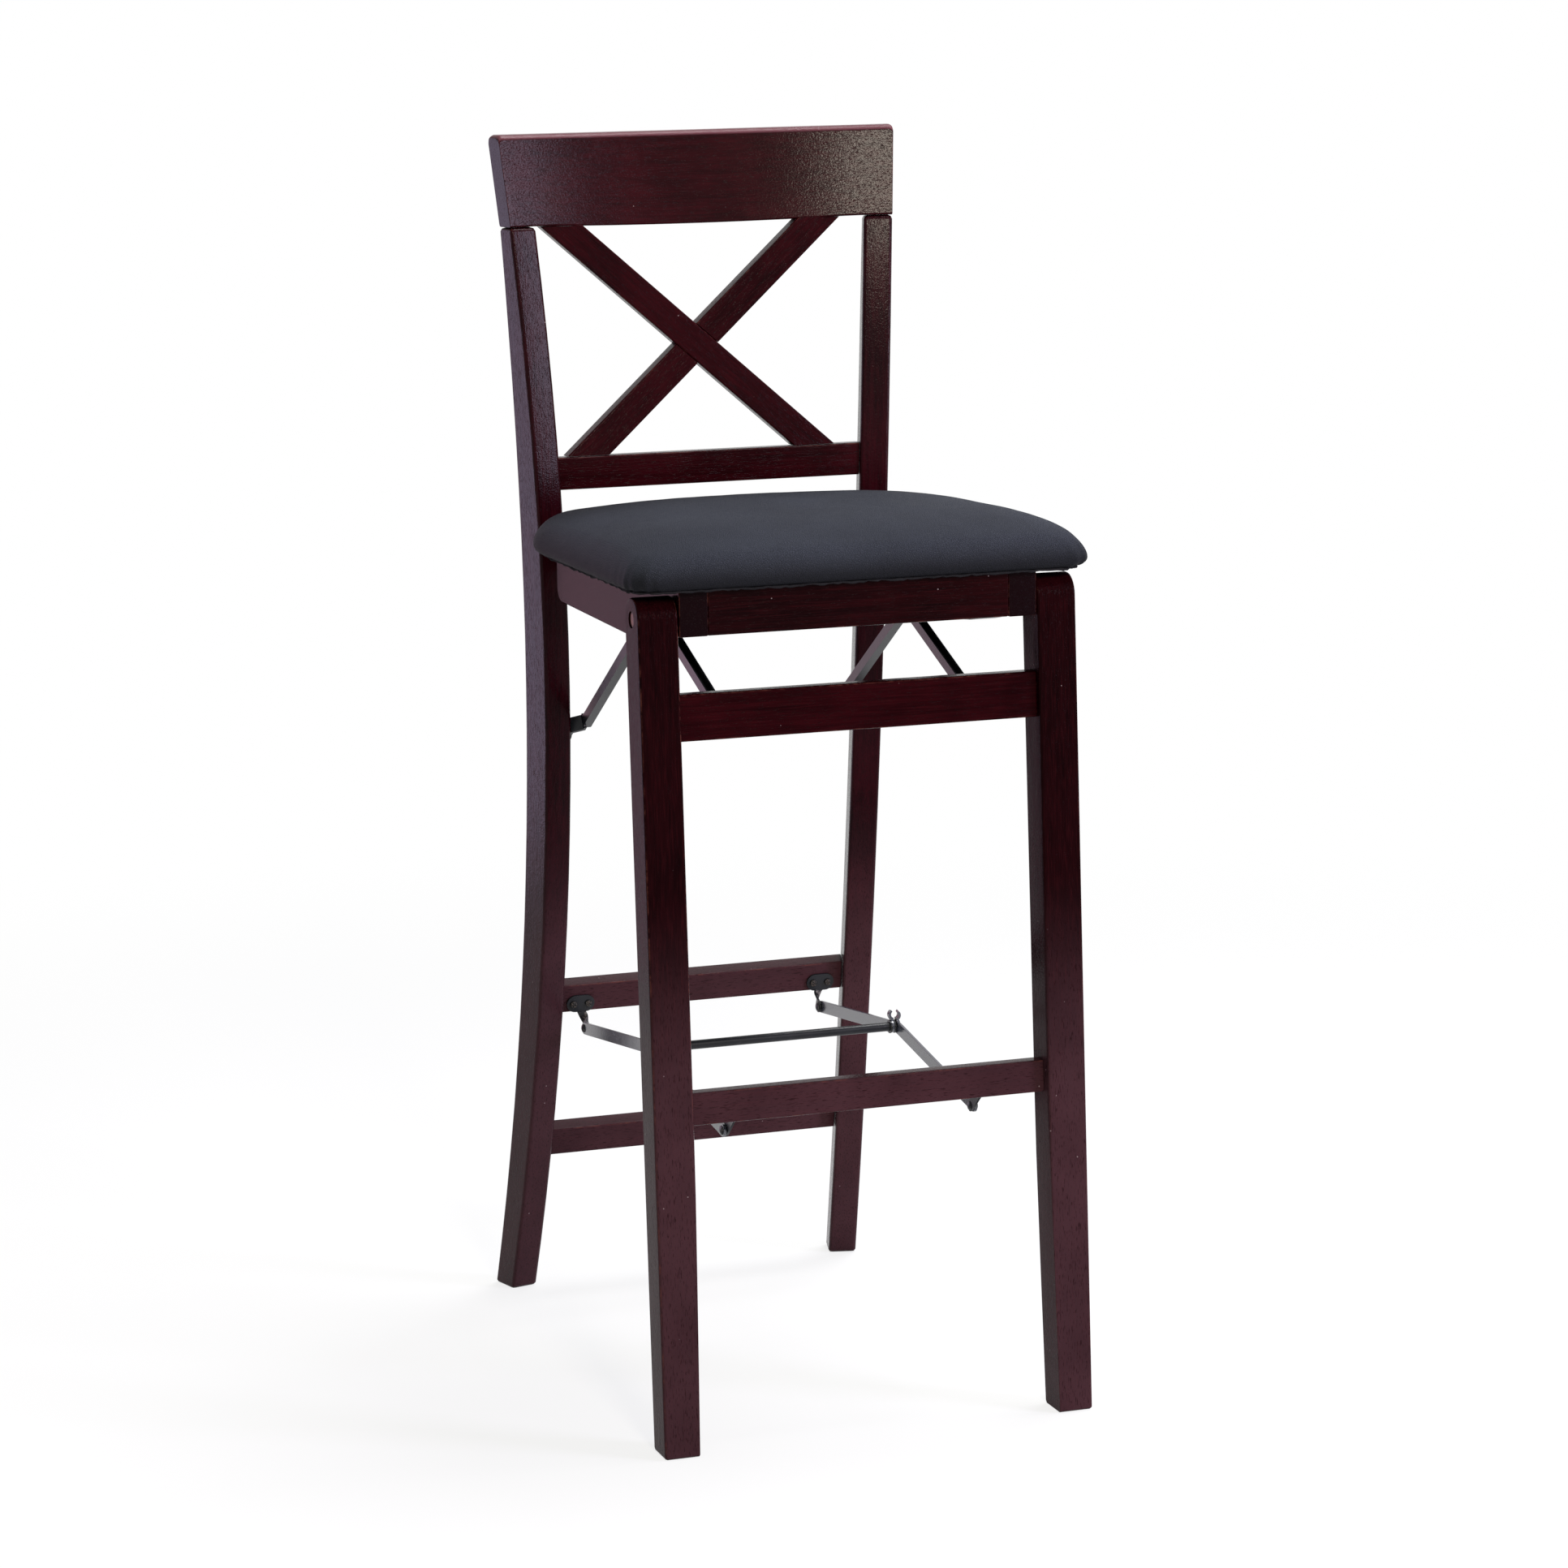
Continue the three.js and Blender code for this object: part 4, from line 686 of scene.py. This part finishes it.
# Rails of the front frame. The upper rail ties the legs under the seat, the foot rail carries feet.
# Black brackets behind both rails hold the braces and the stay.
# Painted shade: the front rails take a darker copy of the back's lacquer.
front_shaded_dark = (0.005, 0.0003, 0.0008, 1)
front_shaded_red = (0.016, 0.0010, 0.0020, 1)
shaded_lacquer_front = cherry_lacquer("cherry_lacquer_front_painted_shade", sideways, leg_shine, front_shaded_dark, front_shaded_red)
for rail in ("front_upper_rail", "foot_rail"):
    dressed(rail, shaded_lacquer_front, "front_frame", wood_rounding)
for side in ("left", "right"):
    for fitting in ("brace_bracket_", "front_brace_pin_", "link_bracket_", "link_rivet_front_"):
        dressed(fitting + side, black_steel, "front_frame", 0)

# Front braces. Pressed channels like the rear ones, from the upper rail up to the rear braces.
# A rivet joins each pair a hand's breadth below the seat rail.
for side in ("left", "right"):
    dressed("front_brace_" + side, black_steel, "front_braces", steel_rounding)

# Folding stay. Flat links with hooked stop fingers at the knee, joined by one round rod.
# The links take a greyer, bluer copy of the black coating, a painted sheen for the light their faces
# catch, and washers keep each pair apart.
link_shine, link_matt = 1.75, 0.14
link_dark_painted_sheen = (0.022, 0.025, 0.036, 1)
link_light_painted_sheen = (0.050, 0.056, 0.075, 1)
link_coating_painted_sheen = steel_coating("link_black_coating_painted_sheen", link_shine, link_matt, link_dark_painted_sheen, link_light_painted_sheen)
for side in ("left", "right"):
    dressed("rear_link_" + side, link_coating_painted_sheen, "rear_links", steel_rounding)
    dressed("knee_washer_inner_" + side, black_steel, "rear_links", steel_rounding)
    dressed("knee_washer_outer_" + side, black_steel, "rear_links", steel_rounding)
    dressed("front_link_" + side, link_coating_painted_sheen, "front_links", steel_rounding)
    dressed("knee_rivet_" + side, black_steel, "front_links", 0)
dressed("cross_rod", black_steel, "rear_links", 0)


# Floor. A pale studio floor that keeps the stool's soft shadow and fades into the white room.
# It is part of the stage, not of the stool.
def stage_finish(name):
    finish = bpy.data.materials.new(name)
    finish.use_nodes = True
    finish.node_tree.nodes.clear()
    return finish, finish.node_tree.nodes.new("ShaderNodeOutputMaterial"), Wire(finish.node_tree)


def looked_at(wire):
    """One where camera, gloss or glass looks straight at a surface, and zero for plain light."""
    seen = wire.node("LightPath", {}, {}, "Is Camera Ray")
    mirrored = wire.node("LightPath", {}, {}, "Is Glossy Ray")
    through = wire.node("LightPath", {}, {}, "Is Transmission Ray")
    return (seen + mirrored + through).maths("MINIMUM", 1)


floor_radius, floor_drop = 6, 0.0005
fade_start, fade_end = 0.8, 2.4
near_white, white_gain = 0.80, 0.20
floor_grey = (0.86, 0.86, 0.87, 1)
floor_white = (1, 1, 1, 1)
floor_finish, floor_end, wire = stage_finish("pale_floor")
spot = wire.node("TexCoord", {}, {}, "Object")
distance = spot.node("VectorMath", {"operation": "LENGTH"}, {0: spot}, "Value").rise(fade_start, fade_end)
share = looked_at(wire) * (near_white + distance * white_gain)
matt = wire.node("BsdfDiffuse", {}, {"Color": floor_grey})
white = wire.node("Emission", {}, {"Color": floor_white, "Strength": 1})
mixed = wire.node("MixShader", {}, {0: share, 1: matt, 2: white})
wire.tree.links.new(mixed.socket, floor_end.inputs["Surface"])
floor_shape = bmesh.new()
bmesh.ops.create_circle(floor_shape, cap_ends=True, segments=96, radius=floor_radius)
floor = made_piece("floor", floor_shape, floor_finish)
floor.location.z = -floor_drop

# Studio. A white room for the camera, gloss and glass, a third as bright for plain light.
# Soft boxes stand in front beside the camera, at the right and overhead.
plain_light = 0.3
room_white = (1, 1, 1, 1)
room = bpy.data.worlds.new("white_room")
bpy.context.scene.world = room
room.use_nodes = True
room_light = looked_at(Wire(room.node_tree)) * (1 - plain_light) + plain_light
sky = room.node_tree.nodes["Background"]
sky.inputs["Color"].default_value = room_white
room.node_tree.links.new(room_light.socket, sky.inputs["Strength"])


def soft_box(name, place, aim, width, height, watts, colour):
    light = bpy.data.lights.new(name, "AREA")
    light.shape = "RECTANGLE"
    light.size, light.size_y = width, height
    light.energy = watts
    light.color = colour
    lamp = bpy.data.objects.new(name, light)
    lamp.visible_camera = False
    lamp.matrix_world = (Vector(aim) - Vector(place)).to_track_quat("-Z", "Y").to_matrix().to_4x4()
    lamp.matrix_world.translation = Vector(place)
    bpy.context.scene.collection.objects.link(lamp)


soft_box("front_box", place=(-0.36, -4.05, 2.28), aim=(0, 0, 1.02), width=0.60, height=0.7,
         watts=112, colour=(1.0, 0.92, 0.78))
soft_box("right_box", place=(2.56, -2.22, 1.46), aim=(0, 0, 0.9), width=0.85, height=1.7,
         watts=108, colour=(0.80, 0.76, 1.0))
soft_box("top_box", place=(0.8, 0.15, 3.0), aim=(0, 0, 0.6), width=1.2, height=1.2,
         watts=80, colour=(1, 1, 1))

# Side flat. A lilac board at the left and behind, which only the gloss of the stool sees.
# It gives the lacquered sides their cool purple sheen, brighter towards its outer end.
flat_left, flat_right = -2.6, -0.3
flat_back, flat_height = 1.5, 1.6
bright_left, bright_right = -1.25, -0.9
rose_glow = (1.0, 0.60, 0.76, 1)
lilac_glow = (0.86, 0.72, 1.0, 1)
low_glow, added_glow = 1.0, 4.0
flat_finish, flat_end, wire = stage_finish("lilac_flat")
outer = 1 - wire.node("TexCoord", {}, {}, "Object").part("X").rise(bright_left, bright_right)
glow = outer.tint(rose_glow, lilac_glow)
lit = wire.node("Emission", {}, {"Color": glow, "Strength": outer * added_glow + low_glow})
wire.tree.links.new(lit.socket, flat_end.inputs["Surface"])
flat_shape = bmesh.new()
flat_shape.faces.new([flat_shape.verts.new(corner) for corner in (
    (flat_left, flat_back, 0), (flat_right, flat_back, 0),
    (flat_right, flat_back, flat_height), (flat_left, flat_back, flat_height))])
side_flat = made_piece("side_flat", flat_shape, flat_finish)
side_flat.visible_camera = side_flat.visible_diffuse = side_flat.visible_shadow = False

# Camera. It stands a little over four metres off, to the left of the front and above the crest.
# Its place, turn and lens were fitted to the photograph's own edges.
camera_place = Vector((-1.3058, -3.854767, 1.2409))
yaw, pitch, tilt = math.radians(-18.958), math.radians(-10.257), math.radians(-0.797)
sensor_width = 36
picture_width, focal_pixels = 1932, 5850.7
lens = bpy.data.cameras.new("camera")
lens.sensor_width = sensor_width
lens.lens = focal_pixels * sensor_width / picture_width
camera = bpy.data.objects.new("camera", lens)
bpy.context.scene.collection.objects.link(camera)
ahead = Vector((-math.sin(yaw) * math.cos(pitch), math.cos(yaw) * math.cos(pitch), math.sin(pitch)))
level = Vector((math.cos(yaw), math.sin(yaw), 0))
above = level.cross(ahead)
right_axis = math.cos(tilt) * level + math.sin(tilt) * above
up_axis = math.cos(tilt) * above - math.sin(tilt) * level
camera.matrix_world = Matrix((right_axis, up_axis, -ahead)).transposed().to_4x4()
camera.matrix_world.translation = camera_place
bpy.context.scene.camera = camera
bpy.context.scene.view_settings.view_transform = "Standard"
